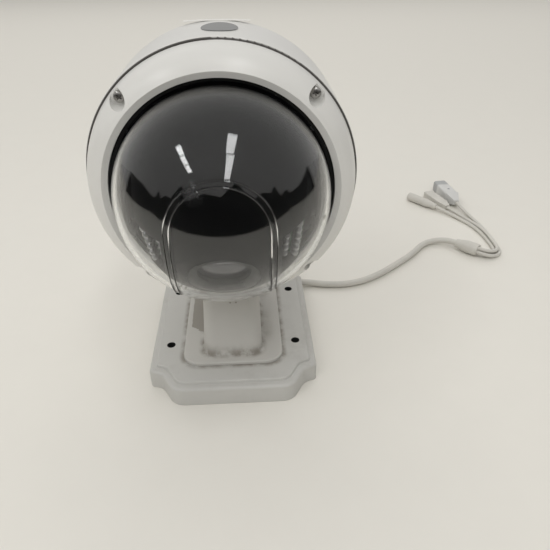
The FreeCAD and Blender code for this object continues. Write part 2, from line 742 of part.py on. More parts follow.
# ================================================================ chassis inside the housing
chassis = new_body("chassis_plate")
chassis_back = -(d.chassis_front + d.chassis_thick)
motor_spot = (0, d.gear_module * (d.pan_teeth + d.pinion_teeth) / 2)
post_spots = [(sx * 50.0, sy * 36.0) for sx in (-1, 1) for sy in (-1, 1)]
slip_spots = [polar(33.0, angle) for angle in (30.0, 150.0, 270.0)]
pad(chassis, [], chassis_back, d.chassis_thick, [((0, 0), chassis_radius), ((0, 0), d.bearing_radius)])
pad(chassis, [], -(d.bearing_front + d.bearing_width), d.bearing_width,
    [((0, 0), d.bearing_radius + 3), ((0, 0), d.bearing_radius)])
chassis_holes = [(motor_spot, 4.5)]
chassis_holes += [(polar(lug_circle, angle), M3_CLEAR) for angle in lug_angles]
chassis_holes += [(spot, M3_CLEAR) for spot in post_spots + slip_spots]
pocket(chassis, -d.chassis_front, d.chassis_thick, circles=chassis_holes)
pocket(chassis, -d.chassis_front, d.chassis_thick,
       [[(-12.0, -90.0), (12.0, -90.0), (12.0, -60.0), (-12.0, -60.0)]])
node("chassis_plate", chassis, in_dome)

# M3 screws: chassis to lugs, posts and board
front_face = -float(d.chassis_front)
board_back = -73.6
chassis_screws = [screw((*polar(float(lug_circle), angle), front_face), M3, 12.0)
                  for angle in lug_angles]
chassis_screws += [screw((float(x), float(y), front_face), M3, 8.0)
                   for x, y in post_spots + slip_spots]
chassis_screws += [screw((x, y, board_back), M3, 6.0, Rotation(Vector(1, 0, 0), 180))
                   for x, y in post_spots]
node("chassis_screws", solids("chassis_screws", chassis_screws), in_dome)

# pan motor: a geared stepper behind the chassis
motor_can = turned("pan_motor_can", [
    (0, chassis_back - 19), (14.0, chassis_back - 19), (14.0, chassis_back), (4.4, chassis_back),
    (4.4, chassis_back + 1.5), (PINION_SHAFT, chassis_back + 1.5), (PINION_SHAFT, chassis_back + 10.5),
    (0, chassis_back + 10.5)])
motor_block = box((14.0, 6.0, 16.0), (-7.0, 13.0, chassis_back - 17.5))
motor = fuse(motor_can, motor_block)
node("pan_motor", motor, in_dome)
motor.Placement = motor.Placement.multiply(Placement(Vector(0, float(motor_spot[1]), 0), Rotation()))
motor.setExpression("Placement.Base.z", (d.axis_height + motor_spot[1]).text)

# pan bearing: two races with a ring of balls between them
race_front = -d.bearing_front
race_back = race_front - d.bearing_width
ball_circle = (d.spindle_radius + d.bearing_radius) / 2
groove = d.ball_radius + 0.05
race_edge = ball_circle - 1.2
groove_half = (groove * groove - 1.2 * 1.2).root()
race_middle = race_front - d.bearing_width / 2
node("bearing_inner_race", turned("bearing_inner_race", [
    (d.spindle_radius, race_back), (race_edge, race_back),
    (race_edge, race_middle - groove_half, -groove), (race_edge, race_middle + groove_half),
    (race_edge, race_front), (d.spindle_radius, race_front)]), in_dome)
outer_edge = ball_circle + 1.2
node("bearing_outer_race", turned("bearing_outer_race", [
    (d.bearing_radius, race_front), (outer_edge, race_front),
    (outer_edge, race_middle + groove_half, -groove), (outer_edge, race_middle - groove_half),
    (outer_edge, race_back), (d.bearing_radius, race_back)]), in_dome)
ball_count = 16
balls = [Part.makeSphere(float(d.ball_radius),
                         Vector(*polar(float(ball_circle), 360.0 * index / ball_count), float(race_middle)))
         for index in range(ball_count)]
node("bearing_balls", solids("bearing_balls", balls), in_dome)

# slip ring: capsule inside the hollow spindle, its back flange on three legs of the chassis
slip_back = -62.0
slip_bore = 6.4
stator = turned("slip_stator", [
    (slip_bore, -42.0), (slip_bore, slip_back), (38.0, slip_back), (38.0, slip_back + 2.0),
    (10.0, slip_back + 2.0), (10.0, -42.0)][::-1])
slip_legs = [cut(cylinder(3.5, chassis_back - slip_back, (x, y, slip_back)),
                 cylinder(M3_THREAD, 8.0, (x, y, chassis_back - 8))) for x, y in slip_spots]
flange_gap = cut(cylinder(60.0, 3.0, (0, 0, slip_back - 0.5)), cylinder(38.0, 3.0, (0, 0, slip_back - 0.5)))
motor_room = cylinder(15.5, 4.0, (0, motor_spot[1], slip_back - 1))
node("slip_ring_stator", cut(fuse(stator, *slip_legs), flange_gap, motor_room), in_dome)
node("slip_ring_rotor", turned("slip_ring_rotor", [
    (0, -61.0), (slip_bore - d.soft_gap, -61.0), (slip_bore - d.soft_gap, -41.0), (d.spindle_bore, -41.0),
    (d.spindle_bore, -36.5), (0, -36.5)]), in_dome)

# main board on four posts, with its chips and sockets
board = new_body("board_blank")
board_front = board_back + BOARD_THICK
pad(board, [[(-56.0, -42.0), (56.0, -42.0), (56.0, 42.0), (-56.0, 42.0)]], board_back, BOARD_THICK)
pocket(board, board_front, BOARD_THICK, circles=[(spot, M3_CLEAR) for spot in post_spots])
chips = [((16.0, 16.0, 1.6), (-40.0, -8.0)), ((12.0, 10.0, 1.4), (-16.0, -30.0)),
         ((14.0, 9.0, 6.0), (18.0, -34.0)), ((10.0, 10.0, 8.0), (34.0, 6.0)),
         ((22.0, 5.0, 6.5), (-46.0, 26.0)), ((18.0, 5.0, 6.5), (24.0, 28.0)), ((8.0, 8.0, 1.4), (4.0, 6.0))]
chip_blocks = [box(size, (x, y, board_front)) for size, (x, y) in chips]
capacitor_spots = ((-30.0, -30.0), (36.0, -12.0), (26.0, -14.0))
capacitors = [cylinder(4.0, 9.0, (x, y, board_front)) for x, y in capacitor_spots]
node("main_board", fuse(board, *(chip_blocks + capacitors)), in_dome)
posts = [cut(cylinder(3.5, chassis_back - board_front, (x, y, board_front)),
             cylinder(M3_THREAD, chassis_back - board_front, (x, y, board_front))) for x, y in post_spots]
node("board_standoffs", fuse(*posts), in_dome)

# ================================================================ pan body: turntable, bubble, yokes
cup_floor = -(d.cup_back - 3.0)
rim_front = -(d.skirt_back + d.sheet_thick)
turntable = turned("turntable_casting", [
    (d.spindle_bore, -d.spindle_end), (d.spindle_radius, -d.spindle_end), (d.spindle_radius, -d.cup_back),
    (cup_radius, -d.cup_back), (cup_radius, rim_front - 4), (flange_radius, rim_front - 4),
    (flange_radius, rim_front), (cup_radius - d.cup_wall, rim_front),
    (cup_radius - d.cup_wall, cup_floor), (d.spindle_bore, cup_floor)])
flange_spots = [polar((d.bubble_radius + flange_radius) / 2, 30.0 + 60.0 * index) for index in range(6)]
yoke_spots = [(sx * (yoke_inner - 4), sy * 10.0) for sx in (-1, 1) for sy in (-1, 1)]
gear_spots = [polar(30.0, 45.0 + 90.0 * index) for index in range(4)]
bracket_spots = [(47.0, 21.0), (47.0, 29.0)]
table_holes = [cylinder(SMALL_THREAD, 12.0, (x, y, rim_front - 8)) for x, y in flange_spots]
table_holes += [cylinder(SMALL_THREAD, 12.0, (x, y, cup_floor - 8))
                for x, y in yoke_spots + gear_spots + bracket_spots]
node("pan_turntable", cut(turntable, *table_holes), in_dome)

gear_top = -d.cup_back
pan_wheel = spur_gear(float(d.gear_module), int(float(d.pan_teeth)), float(d.spindle_radius) + 0.02,
                      float(gear_top - d.gear_width), float(d.gear_width), float(d.backlash))
for x, y in gear_spots:
    pan_wheel = pan_wheel.cut(Part.makeCylinder(SMALL_THREAD, 20, Vector(float(x), float(y), -50)))
node("pan_gear", solids("pan_gear", [pan_wheel]), in_dome)

pinion = spur_gear(float(d.gear_module), int(float(d.pinion_teeth)), PINION_SHAFT + float(d.shaft_gap),
                   float(gear_top - d.gear_width) - 0.5, float(d.gear_width) + 0.2, float(d.backlash), 15.0)
pinion.translate(Vector(0, float(motor_spot[1]), 0))
node("pan_pinion", solids("pan_pinion", [pinion]), in_dome)

# clear bubble: most of a half ball on a straight skirt with a flange
ball_inner = d.bubble_radius - d.bubble_wall
bubble = turned("bubble_shell", [
    (0, d.ball_centre + ball_inner, -ball_inner), (ball_inner, d.ball_centre), (ball_inner, rim_front),
    (flange_radius, rim_front), (flange_radius, -d.skirt_back), (d.bubble_radius, -d.skirt_back),
    (d.bubble_radius, d.ball_centre, d.bubble_radius), (0, d.ball_centre + d.bubble_radius)])
window_rise = 1.0
window_back = 20.0
window_seat = d.bubble_radius - 0.5
window_face = d.bubble_radius + window_rise
window_shell = turned("window_shell", [
    (0, d.ball_centre + window_seat, -window_seat), (window_seat, d.ball_centre), (window_seat, window_back),
    (window_face, window_back), (window_face, d.ball_centre, window_face), (0, d.ball_centre + window_face)])
window_half = 30.5
window_arch = fuse(cylinder(window_half, 100.0, (0, 3.5, 0)),
                   box((2 * window_half, 83.5, 100.0), (-window_half, -80.0, 0)))
flange_holes = [cylinder(SMALL_CLEAR, 6.0, (x, y, rim_front - 1)) for x, y in flange_spots]
node("dome_bubble", cut(fuse(bubble, common(window_shell, window_arch)), *flange_holes), in_dome)

clamp_back = -d.skirt_back
clamp_ring = washer("clamp_ring", d.bubble_radius + 0.3, flange_radius, clamp_back, clamp_back + 1.5)
clamp_holes = [cylinder(SMALL_CLEAR, 4.0, (x, y, clamp_back - 1)) for x, y in flange_spots]
node("bubble_clamp_ring", cut(clamp_ring, *clamp_holes), in_dome)

# black liner just inside the bubble: dark above, with an arch left open for the lens
liner_inner = liner_radius - d.liner_wall
liner = turned("liner_shell", [
    (0, d.ball_centre + liner_inner, -liner_inner), (liner_inner, d.ball_centre), (liner_inner, rim_front),
    (liner_radius, rim_front), (liner_radius, d.ball_centre, liner_radius),
    (0, d.ball_centre + liner_radius)])
liner_edge = 30.0
liner_below = box((200.0, 100.0 + liner_edge, 200.0), (-100.0, -100.0, -50.0))
liner_arch = cylinder(34.0, 120.0, (0, 4.0, 0))
node("dome_liner", cut(liner, liner_below, liner_arch), in_dome)


# two yokes that stand in the turntable and carry the tilt axis
def yoke(side):
    """Upright plate with a foot; its bushing hole is on the tilt axis."""
    inner = yoke_inner if side > 0 else -(yoke_inner + d.yoke_thick)
    blade = box((d.yoke_thick, 2 * d.yoke_half, d.ball_centre - cup_floor), (inner, -d.yoke_half, cup_floor))
    crown = cylinder(d.yoke_half, d.yoke_thick, (inner, 0, d.ball_centre), "x")
    foot_start = yoke_inner - 10 if side > 0 else -yoke_inner
    foot = box((10.0, 2 * d.yoke_half, 3.0), (foot_start, -d.yoke_half, cup_floor))
    hole = cylinder(bush_radius, d.yoke_thick + 2, (inner - 1, 0, d.ball_centre), "x")
    bolts = [cylinder(SMALL_CLEAR, 6.0, (side * (yoke_inner - 4), y, cup_floor - 1)) for y in (-10.0, 10.0)]
    return cut(fuse(blade, crown, foot), hole, *bolts)


node("yoke_right", yoke(1), in_dome)
node("yoke_left", yoke(-1), in_dome)
bushes = []
for side in (1, -1):
    start = yoke_inner if side > 0 else -(yoke_inner + d.yoke_thick)
    bushes.append(cut(cylinder(bush_radius, d.yoke_thick, (start, 0, d.ball_centre), "x"),
                      cylinder(d.trunnion_radius + d.shaft_gap, d.yoke_thick,
                               (start, 0, d.ball_centre), "x")))
node("yoke_bushes", fuse(*bushes), in_dome)

# round caps that fill the ball out on the yokes' outer sides
cap_base = yoke_inner + d.yoke_thick
cap_radius = liner_radius - 1.8
cap_ball = cut(sphere(cap_radius, (0, 0, d.ball_centre)), sphere(cap_radius - 1.6, (0, 0, d.ball_centre)))
cap_depth = cap_radius - cap_base + 1
cap_slabs = [box((cap_depth, 60.0, 60.0), (start, -30.0, d.ball_centre - 30))
             for start in (cap_base, -cap_base - cap_depth)]
cap_webs = [box((cap_depth, 1.6, 34.0), (start, y - 0.8, d.ball_centre - 17))
            for start in (cap_base, -cap_base - cap_depth) for y in (-12.0, 12.0)]
cap_limit = sphere(cap_radius - 0.2, (0, 0, d.ball_centre))
node("yoke_caps", fuse(common(cap_ball, fuse(*cap_slabs)), common(fuse(*cap_webs), cap_limit)), in_dome)

# tilt motor, its bracket and the belt drive beside the head
motor_y = d.motor_up
motor_z = d.ball_centre - d.motor_back
bracket_x = 40.5
tilt_motor = fuse(cylinder(d.tilt_motor_radius, 22.0, (bracket_x - 22.0, motor_y, motor_z), "x"),
                  cylinder(3.5, 2.0, (bracket_x, motor_y, motor_z), "x"),
                  cylinder(PULLEY_SHAFT, 12.5, (bracket_x + 2.0, motor_y, motor_z), "x"))
node("tilt_motor", tilt_motor, in_dome)
bracket_face = box((2.0, 15.0, motor_z + 7.5 - cup_floor), (bracket_x, motor_y - 6.2, cup_floor))
bracket_foot = box((10.0, 15.0, 2.0), (bracket_x, motor_y - 6.2, cup_floor))
bracket_cuts = [cylinder(3.6, 4.0, (bracket_x - 1, motor_y, motor_z), "x")]
bracket_cuts += [cylinder(SMALL_CLEAR, 6.0, (x, y, cup_floor - 1)) for x, y in bracket_spots]
node("tilt_motor_bracket", cut(fuse(bracket_face, bracket_foot), *bracket_cuts), in_dome)

belt_start = d.head_half + 1.0


def belt_outline(grow):
    """Face inside a belt round both pulleys, at a given height above their rims."""
    big, small = float(d.tilt_pulley_radius) + grow, float(d.motor_pulley_radius) + grow
    across, back = float(d.motor_up), -float(d.motor_back)
    lean = math.acos((big - small) / math.hypot(across, back))
    heading = math.atan2(back, across)

    def on_circle(centre, radius, angle):
        return Vector(centre[0] + radius * math.cos(angle), centre[1] + radius * math.sin(angle), 0)

    big_points = [on_circle((0, 0), big, heading + turn) for turn in (lean, math.pi, -lean)]
    small_points = [on_circle((across, back), small, heading + turn) for turn in (-lean, 0, lean)]
    edges = [Part.Arc(*big_points), Part.LineSegment(big_points[2], small_points[0]),
             Part.Arc(*small_points), Part.LineSegment(small_points[2], big_points[0])]
    return Part.Face(Part.Wire([edge.toShape() for edge in edges]))


belt_face = belt_outline(float(d.soft_gap + d.belt_thick)).cut(belt_outline(float(d.soft_gap)))
belt = belt_face.extrude(Vector(0, 0, float(d.belt_width)))
# the outline is drawn with its x along the dome's y and its y along the dome's z
belt.Placement = Placement(Vector(float(belt_start), 0, float(d.ball_centre)), Rotation(Vector(1, 1, 1), 120))
node("tilt_belt", solids("tilt_belt", [belt.copy()]), in_dome)
motor_pulley = cut(cylinder(d.motor_pulley_radius, d.belt_width, (belt_start, motor_y, motor_z), "x"),
                   cylinder(PULLEY_SHAFT + d.shaft_gap, d.belt_width, (belt_start, motor_y, motor_z), "x"))
node("tilt_motor_pulley", motor_pulley, in_dome)

# small screws of the turntable: bubble flange, yoke feet, gear and motor bracket
clamp_front = float(clamp_back) + 1.5
table_screws = [screw((float(x), float(y), clamp_front), CLAMP_SCREW, 8.0) for x, y in flange_spots]
table_screws += [screw((float(x), float(y), float(cup_floor) + 3.0), SMALL, 6.0) for x, y in yoke_spots]
table_screws += [screw((float(x), float(y), float(cup_floor)), SMALL, 6.8) for x, y in gear_spots]
table_screws += [screw((x, y, float(cup_floor) + 2.0), SMALL, 4.8) for x, y in bracket_spots]
node("turntable_screws", solids("turntable_screws", table_screws), in_dome)

# ================================================================ tilting head, drawn with z along the lens
head_ball = sphere(head_radius)
head_slab = box((2 * d.head_half, 160.0, 160.0), (-d.head_half, -80.0, -80.0))
core = cylinder(d.core_radius, 2 * d.head_half, (-d.head_half, 0, 0), "x")


def forward_sector(radius, half_x):
    """Slice of a round bar along x that faces forwards, from below the lens axis to above it."""
    item = doc.addObject("Part::Cylinder", "Sector")
    bind(item, "Radius", radius)
    bind(item, "Height", 2 * half_x)
    bind(item, "Angle", d.nose_down + d.nose_up)
    # the bar's own x points along y, its y along z, its z along x
    lay_down = Rotation(Vector(1, 1, 1), 120)
    start = Rotation(Vector(0, 0, 1), 90 - float(d.nose_up))
    item.Placement = Placement(Vector(-float(half_x), 0, 0), lay_down.multiply(start))
    return item


nose = forward_sector(80.0, d.head_half)
bays = [box((40.0, 2 * d.bay_half, 60.0), (x, -d.bay_half, d.bay_floor))
        for x in (d.bay_side, -d.bay_side - 40)]
head_outside = cut(common(common(head_ball, head_slab), fuse(core, nose)), *bays)
inside_half = d.head_half - d.head_wall
inside_ball = sphere(head_radius - d.head_wall)
inside_slab = box((2 * inside_half, 160.0, 160.0), (-inside_half, -80.0, -80.0))
inside_core = cylinder(d.core_radius - d.head_wall, 120.0, (-60.0, 0, 0), "x")
inside_nose = cylinder(d.core_radius - d.head_wall - 6, 70.0, (0, 0, 0))
bay_walls = [box((40.0, 2 * (d.bay_half + d.head_wall), 60.0),
                 (x, -d.bay_half - d.head_wall, d.bay_floor - d.head_wall))
             for x in (d.bay_side - d.head_wall, -d.bay_side - 40 + d.head_wall)]
head_inside = cut(common(common(inside_ball, inside_slab), fuse(inside_core, inside_nose)), *bay_walls)
lens_bore = cylinder(bezel_radius + 0.1, 60.0, (0, 0, 40.0))
trunnion_hole = cylinder(d.trunnion_radius, 140.0, (-70.0, 0, 0), "x")
front_half = box((200.0, 200.0, 100.0 + d.shell_split), (-100.0, -100.0, -d.shell_split))
rear_half = box((200.0, 200.0, 100.0 - d.shell_split), (-100.0, -100.0, -100.0))
head_shell = cut(head_outside, head_inside)
node("head_front_shell", common(cut(head_shell, lens_bore, trunnion_hole), front_half), in_head)
node("head_rear_shell", common(head_shell, rear_half), in_head)

# trunnions: two short steel pins with a collar inside the head's side walls
pin_start = inside_half - 2.0
pin_length = cap_base + 0.4 - pin_start
pins = [cylinder(d.trunnion_radius, pin_length, (start, 0, 0), "x")
        for start in (pin_start, -pin_start - pin_length)]
collars = [cylinder(7.0, 2.0, (start, 0, 0), "x") for start in (inside_half - 2, -inside_half)]
node("tilt_trunnions", fuse(*(pins + collars)), in_head)
pulley_hub = cut(fuse(cylinder(d.tilt_pulley_radius, d.belt_width, (belt_start, 0, 0), "x"),
                      cylinder(8.0, 1.0, (d.head_half, 0, 0), "x")),
                 cylinder(d.trunnion_radius, d.belt_width + 1, (d.head_half, 0, 0), "x"))
node("tilt_pulley", pulley_hub, in_head)

# camera module: barrel with two arms to each side wall, front glass, bezel and the block behind it
barrel_inner = d.barrel_radius - d.barrel_wall
glass_seat = barrel_front - 6.0
barrel = turned("barrel_tube", [
    (barrel_inner, -d.barrel_back), (d.barrel_radius, -d.barrel_back), (d.barrel_radius, barrel_front),
    (barrel_inner, barrel_front), (barrel_inner, glass_seat), (barrel_inner - 1.2, glass_seat),
    (barrel_inner - 1.2, glass_seat - 1.5), (barrel_inner, glass_seat - 1.5)])
block_front = -d.barrel_back
block_half = 20.0
block = cut(box((2 * block_half, 2 * block_half, 8.0), (-block_half, -block_half, block_front - 8)),
            box((27.0, 16.6, 1.8), (-13.5, -8.3, block_front - 4.9)),
            cylinder(6.0, 12.0, (0, 0, block_front - 10)),
            box((24.0, 16.6, 3.2), (-12.0, -8.3, block_front - 8)))
arm_reach = inside_half - 19.0
arms = [box((arm_reach, 4.0, 6.0), (x, y, 4.0)) for x in (19.0, -inside_half) for y in (-19.0, 15.0)]
rod_spots = [(rod_offset, 0), (-rod_offset, 0)]
rod_seats = [cylinder(d.rod_radius, 6.0, (x, y, block_front - 3)) for x, y in rod_spots]
barrel_hollow = cylinder(barrel_inner, 40.0, (0, 0, block_front))
node("lens_barrel", cut(fuse(barrel, cut(fuse(*arms), barrel_hollow), block), *rod_seats), in_head)
bezel = turned("bezel_ring", [
    (bezel_bore, barrel_front), (bezel_radius, barrel_front), (bezel_radius, barrel_front + 2.6),
    (bezel_radius - 1, barrel_front + 3.6), (bezel_bore + 3, barrel_front + 3.6),
    (bezel_bore, barrel_front + 1.2)])
node("lens_bezel", bezel, in_head)
glass_radius = barrel_inner
glass_crown = 2.8
front_glass = turned("front_glass", [
    (0, glass_seat), (glass_radius, glass_seat),
    (glass_radius, glass_seat + 2.6, (glass_radius * glass_radius + glass_crown ** 2) / (2 * glass_crown)),
    (0, glass_seat + 2.6 + glass_crown)])
node("objective_glass", front_glass, in_head)
rod_length = glass_seat - 1.5 - block_front + 3
node("guide_rods", fuse(*[cylinder(d.rod_radius, rod_length, (x, y, block_front - 3)) for x, y in rod_spots]),
     in_head)


def lens_carriage(low, length):
    """Sliding carrier with its glass: it runs on both guide rods."""
    bore = 11.5
    rod_holes = [cylinder(d.rod_radius + d.shaft_gap, length, (x, y, low)) for x, y in rod_spots]
    ring = cut(cylinder(barrel_inner - d.soft_gap, length, (0, 0, low)), cylinder(bore, length, (0, 0, low)),
               *rod_holes)
    return fuse(ring, cylinder(bore, 3.0, (0, 0, low + length / 2 - 1.5)))


node("zoom_carriage", lens_carriage(26.0, 8.0), in_head)
node("focus_carriage", lens_carriage(4.0, 6.0), in_head)
ir_filter = new_body("ir_filter_plate")
pad(ir_filter, [[(-10.0, -8.0), (4.0, -8.0), (4.0, 8.0), (-10.0, 8.0)]], block_front - 4.6, 1.2)
node("ir_cut_filter", ir_filter, in_head)
sensor_back = block_front - 9.6
sensor = fuse(box((2 * block_half, 2 * block_half, 1.6), (-block_half, -block_half, sensor_back)),
              box((12.0, 10.0, 1.6), (-6.0, -5.0, sensor_back + 1.6)))
node("sensor_board", sensor, in_head)

# infra-red lamps on a board in each bay
board_edge = d.bay_side + 0.5
lamp_board_width = d.head_half - board_edge - 0.5
led_boards = [box((lamp_board_width, 2 * d.bay_half - 2, BOARD_THICK), (x, -d.bay_half + 1, d.bay_floor))
              for x in (board_edge, -board_edge - lamp_board_width)]
node("led_boards", fuse(*led_boards), in_head)
lamp_floor = float(d.bay_floor) + BOARD_THICK
lamps = []
for side in (-1, 1):
    for column in (38.6, 45.2):
        for y in (-18.0, -10.8, -3.6, 3.6, 10.8, 18.0):
            dome = Part.makeSphere(LAMP_RADIUS, Vector(0, 0, LAMP_LENGTH))
            lamp = Part.makeCylinder(LAMP_RADIUS, LAMP_LENGTH).fuse(dome).removeSplitter()
            lamp.translate(Vector(side * column, y, lamp_floor))
            lamps.append(lamp)
node("ir_leds", solids("ir_leds", lamps), in_head)


# ================================================================ cables
def cord(name, route, width):
    """Tube of straight runs joined by tangent arcs; prints its bend radii and checks its volume."""
    points = [Vector(*[float(value) for value in point]) for point in route]
    edges = []
    start = points[0]
    radii = []
    for before, corner, after in zip(points, points[1:], points[2:]):
        towards, away = (before - corner).normalize(), (after - corner).normalize()
        half_turn = (math.pi - towards.getAngle(away)) / 2
        trim = 0.45 * min((before - corner).Length, (after - corner).Length)
        radius = trim / math.tan(half_turn)
        middle = corner + (towards + away).normalize() * (radius / math.cos(half_turn) - radius)
        edges.append(Part.LineSegment(start, corner + towards * trim).toShape())
        edges.append(Part.Arc(corner + towards * trim, middle, corner + away * trim).toShape())
        start = corner + away * trim
        radii.append(radius)
    edges.append(Part.LineSegment(start, points[-1]).toShape())
    path = Part.Wire(edges)
    heading = (points[1] - points[0]).normalize()
    section = Part.Wire(Part.makeCircle(float(width) / 2, points[0], heading))
    tube = path.makePipeShell([section], True, False)
    expected = math.pi * float(width) ** 2 / 4 * path.Length
    print("%s: %.0f mm long, radii %s, volume off by %.2f%%" % (
        name, path.Length, " ".join("%.0f" % radius for radius in radii), 100 * (tube.Volume / expected - 1)))
    return solids(name, [tube])


# the way from the housing down the arm to the grommet, held all along
exit_x = grommet_start + grommet_length
harness = [(0.0, 3.0, 94.0), (0.0, 0.2, 75.0), (0.0, -2.6, 54.0), (0.0, -3.0, 34.0), (3.0, 4.5, 15.5),
           (12.0, 23.0, 7.4), (22.5, 43.0, 5.3), (34.0, 61.0, 5.0),
           (grommet_start - 0.5, cable_exit_side, d.cable_exit_up)]
node("harness_cable", cord("harness_cable", harness, d.cable_width))

# free cable on the table, from the grommet to the moulded splitter
main_route = [(exit_x - 5, cable_exit_side, d.cable_exit_up), (exit_x + 12, cable_exit_side - 0.6, 4.4),
              (91.0, 66.6, 3.3), (111.0, 65.4, 3.3), (131.0, 70.4, 3.3), (152.0, 83.0, 3.3),
              (173.0, 100.5, 3.3),
              (192.0, 117.0, 3.3), (200.3, 126.2, 3.3), (207.6, 135.2, 3.3), (215.0, 141.9, 3.4),
              (222.1, 145.2, 3.9), (229.8, 146.2, 4.7), (237.5, 144.7, 5.6), (244.3, 140.9, 6.5),
              (249.6, 135.2, 7.1)]
main_cord = cord("main_cord", main_route, d.cable_width)
node("main_cord", main_cord)


def along(start, end, sections):
    """Solid of round sections strung along a straight line: pairs of (distance, radius)."""
    start, end = Vector(*start), Vector(*end)
    heading = (end - start).normalize()
    pieces = []
    for (near, first), (far, second) in zip(sections, sections[1:]):
        if far - near < 1e-6:
            continue
        if abs(first - second) < 1e-6:
            pieces.append(Part.makeCylinder(first, far - near, start + heading * near, heading))
        else:
            pieces.append(Part.makeCone(first, second, far - near, start + heading * near, heading))
    shape = pieces[0].multiFuse(pieces[1:]) if len(pieces) > 1 else pieces[0]
    return shape.removeSplitter()


legs = {
    "power_leg": [(264.3, 123.7, 6.1), (268.5, 118.9, 6.0), (274.9, 116.5, 4.6), (281.6, 117.3, 2.9),
                  (287.2, 121.0, 2.1), (290.5, 126.9, 2.1), (291.0, 138.5, 2.1), (291.0, 155.0, 2.1),
                  (289.0, 172.0, 2.1), (283.5, 190.0, 2.1), (275.0, 206.0, 2.3), (265.5, 219.5, 3.6),
                  (256.0, 231.0, 5.3)],
    "io_leg": [(263.7, 121.1, 9.8), (268.4, 115.8, 9.7), (275.5, 113.1, 8.5), (282.9, 113.9, 7.0),
               (289.2, 118.1, 5.9), (292.9, 124.7, 5.7), (293.4, 138.0, 5.7), (293.7, 154.0, 5.7),
               (292.9, 172.0, 4.6), (289.0, 191.0, 2.4), (283.0, 207.5, 2.2), (276.5, 219.5, 3.2),
               (270.0, 229.5, 4.6)],
    "network_leg": [(262.8, 118.8, 6.1), (268.1, 112.8, 6.0), (276.0, 109.9, 4.6), (284.3, 110.8, 2.9),
                    (291.3, 115.5, 2.1), (295.4, 122.8, 2.1), (296.0, 137.0, 2.1), (296.5, 154.0, 2.1),
                    (296.8, 172.0, 2.1), (295.2, 190.0, 2.1), (291.5, 207.0, 2.7), (287.7, 221.5, 4.9),
                    (284.0, 237.0, 7.5)],
}
leg_cords = {}
for name, route in legs.items():
    leg_cords[name] = cord(name, route, d.leg_width)
    node(name, leg_cords[name])

boot_start = main_route[-1]
boot = along(boot_start, (267.6, 116.7, 7.3), [(0, 4.6), (5, 5.2), (13, 7.0), (21.5, 7.0), (25.8, 6.2)])
for held in [main_cord] + list(leg_cords.values()):
    boot = boot.cut(held.Shape)
node("splitter_boot", solids("splitter_boot", [boot]))

# barrel-jack socket with its tapered boot
socket_start = Vector(*legs["power_leg"][-1])
socket_heading = (Vector(231.0, 264.0, 5.4) - socket_start).normalize()
socket_length = 42.5
socket = along(socket_start, socket_start + socket_heading * socket_length,
               [(0, 3.2), (12, 4.6), (15, 5.2), (socket_length, 5.2)])
jack_floor = socket_start + socket_heading * (socket_length - 10)
socket = socket.cut(Part.makeCylinder(3.0, 11, jack_floor, socket_heading))
socket = socket.fuse(Part.makeCylinder(1.0, 9, jack_floor, socket_heading)).cut(leg_cords["power_leg"].Shape)
node("power_socket", solids("power_socket", [socket]))


def flat_connector(start, end, length, width, height, taper, nose):
    """Flat moulded connector: a tapered back end and a straight body with a square mouth."""
    start, end = Vector(*start), Vector(*end)
    heading = (end - start).normalize()
    back_profile = Part.makePolygon([Vector(-3, -3, 0), Vector(3, -3, 0), Vector(3, 3, 0), Vector(-3, 3, 0),
                                     Vector(-3, -3, 0)])
    half_w, half_h = width / 2, height / 2
    body_profile = [Vector(-half_w, -half_h, taper), Vector(half_w, -half_h, taper),
                    Vector(half_w, half_h, taper), Vector(-half_w, half_h, taper)]
    cone = Part.makeLoft([back_profile, Part.makePolygon(body_profile + body_profile[:1])], True, True)
    block = Part.makeBox(width, height, length - taper, Vector(-half_w, -half_h, taper))
    block = block.makeFillet(min(width, height) * 0.18,
                             [edge for edge in block.Edges if edge.BoundBox.ZLength > length / 3])
    opening = Part.makeBox(width - 4, height - 4, nose, Vector(-half_w + 2, -half_h + 2, length - nose))
    shape = cone.fuse(block).cut(opening)
    across = Vector(0, 0, 1).cross(heading).normalize()
    turn = Rotation(across, heading.cross(across), heading, "ZXY")
    shape.Placement = Placement(start, turn)
    return shape


io_connector = flat_connector(legs["io_leg"][-1], (257.5, 272.0, 4.6), 44.0, 13.0, 8.6, 12.0, 10.0)
node("io_connector", solids("io_connector", [io_connector.cut(leg_cords["io_leg"].Shape)]))
network_socket = flat_connector(legs["network_leg"][-1], (278.0, 290.6, 7.6), 54.0, 16.5, 14.5, 15.0, 14.0)
node("network_socket", solids("network_socket", [network_socket.cut(leg_cords["network_leg"].Shape)]))

# ================================================================ check and write
doc.recompute()
for item in doc.Objects:
    failed = {"Invalid", "Error"} & set(item.State)
    assert not failed, "%s (%s) failed: %s" % (item.Name, item.Label, item.State)
labels = [piece.Label for piece in nodes]
assert len(set(labels)) == len(labels), "a node name is used twice"
for piece in nodes:
    shape = piece.Shape
    assert not shape.isNull() and shape.isValid() and shape.Solids, "%s has no valid solid" % piece.Label

os.makedirs("parts", exist_ok=True)
for piece in nodes:
    piece.Shape.exportStep("parts/%s.step" % piece.Label)
print("%d nodes" % len(nodes))
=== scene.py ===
import json
import math

import bmesh
import bpy
from mathutils import Matrix, Vector

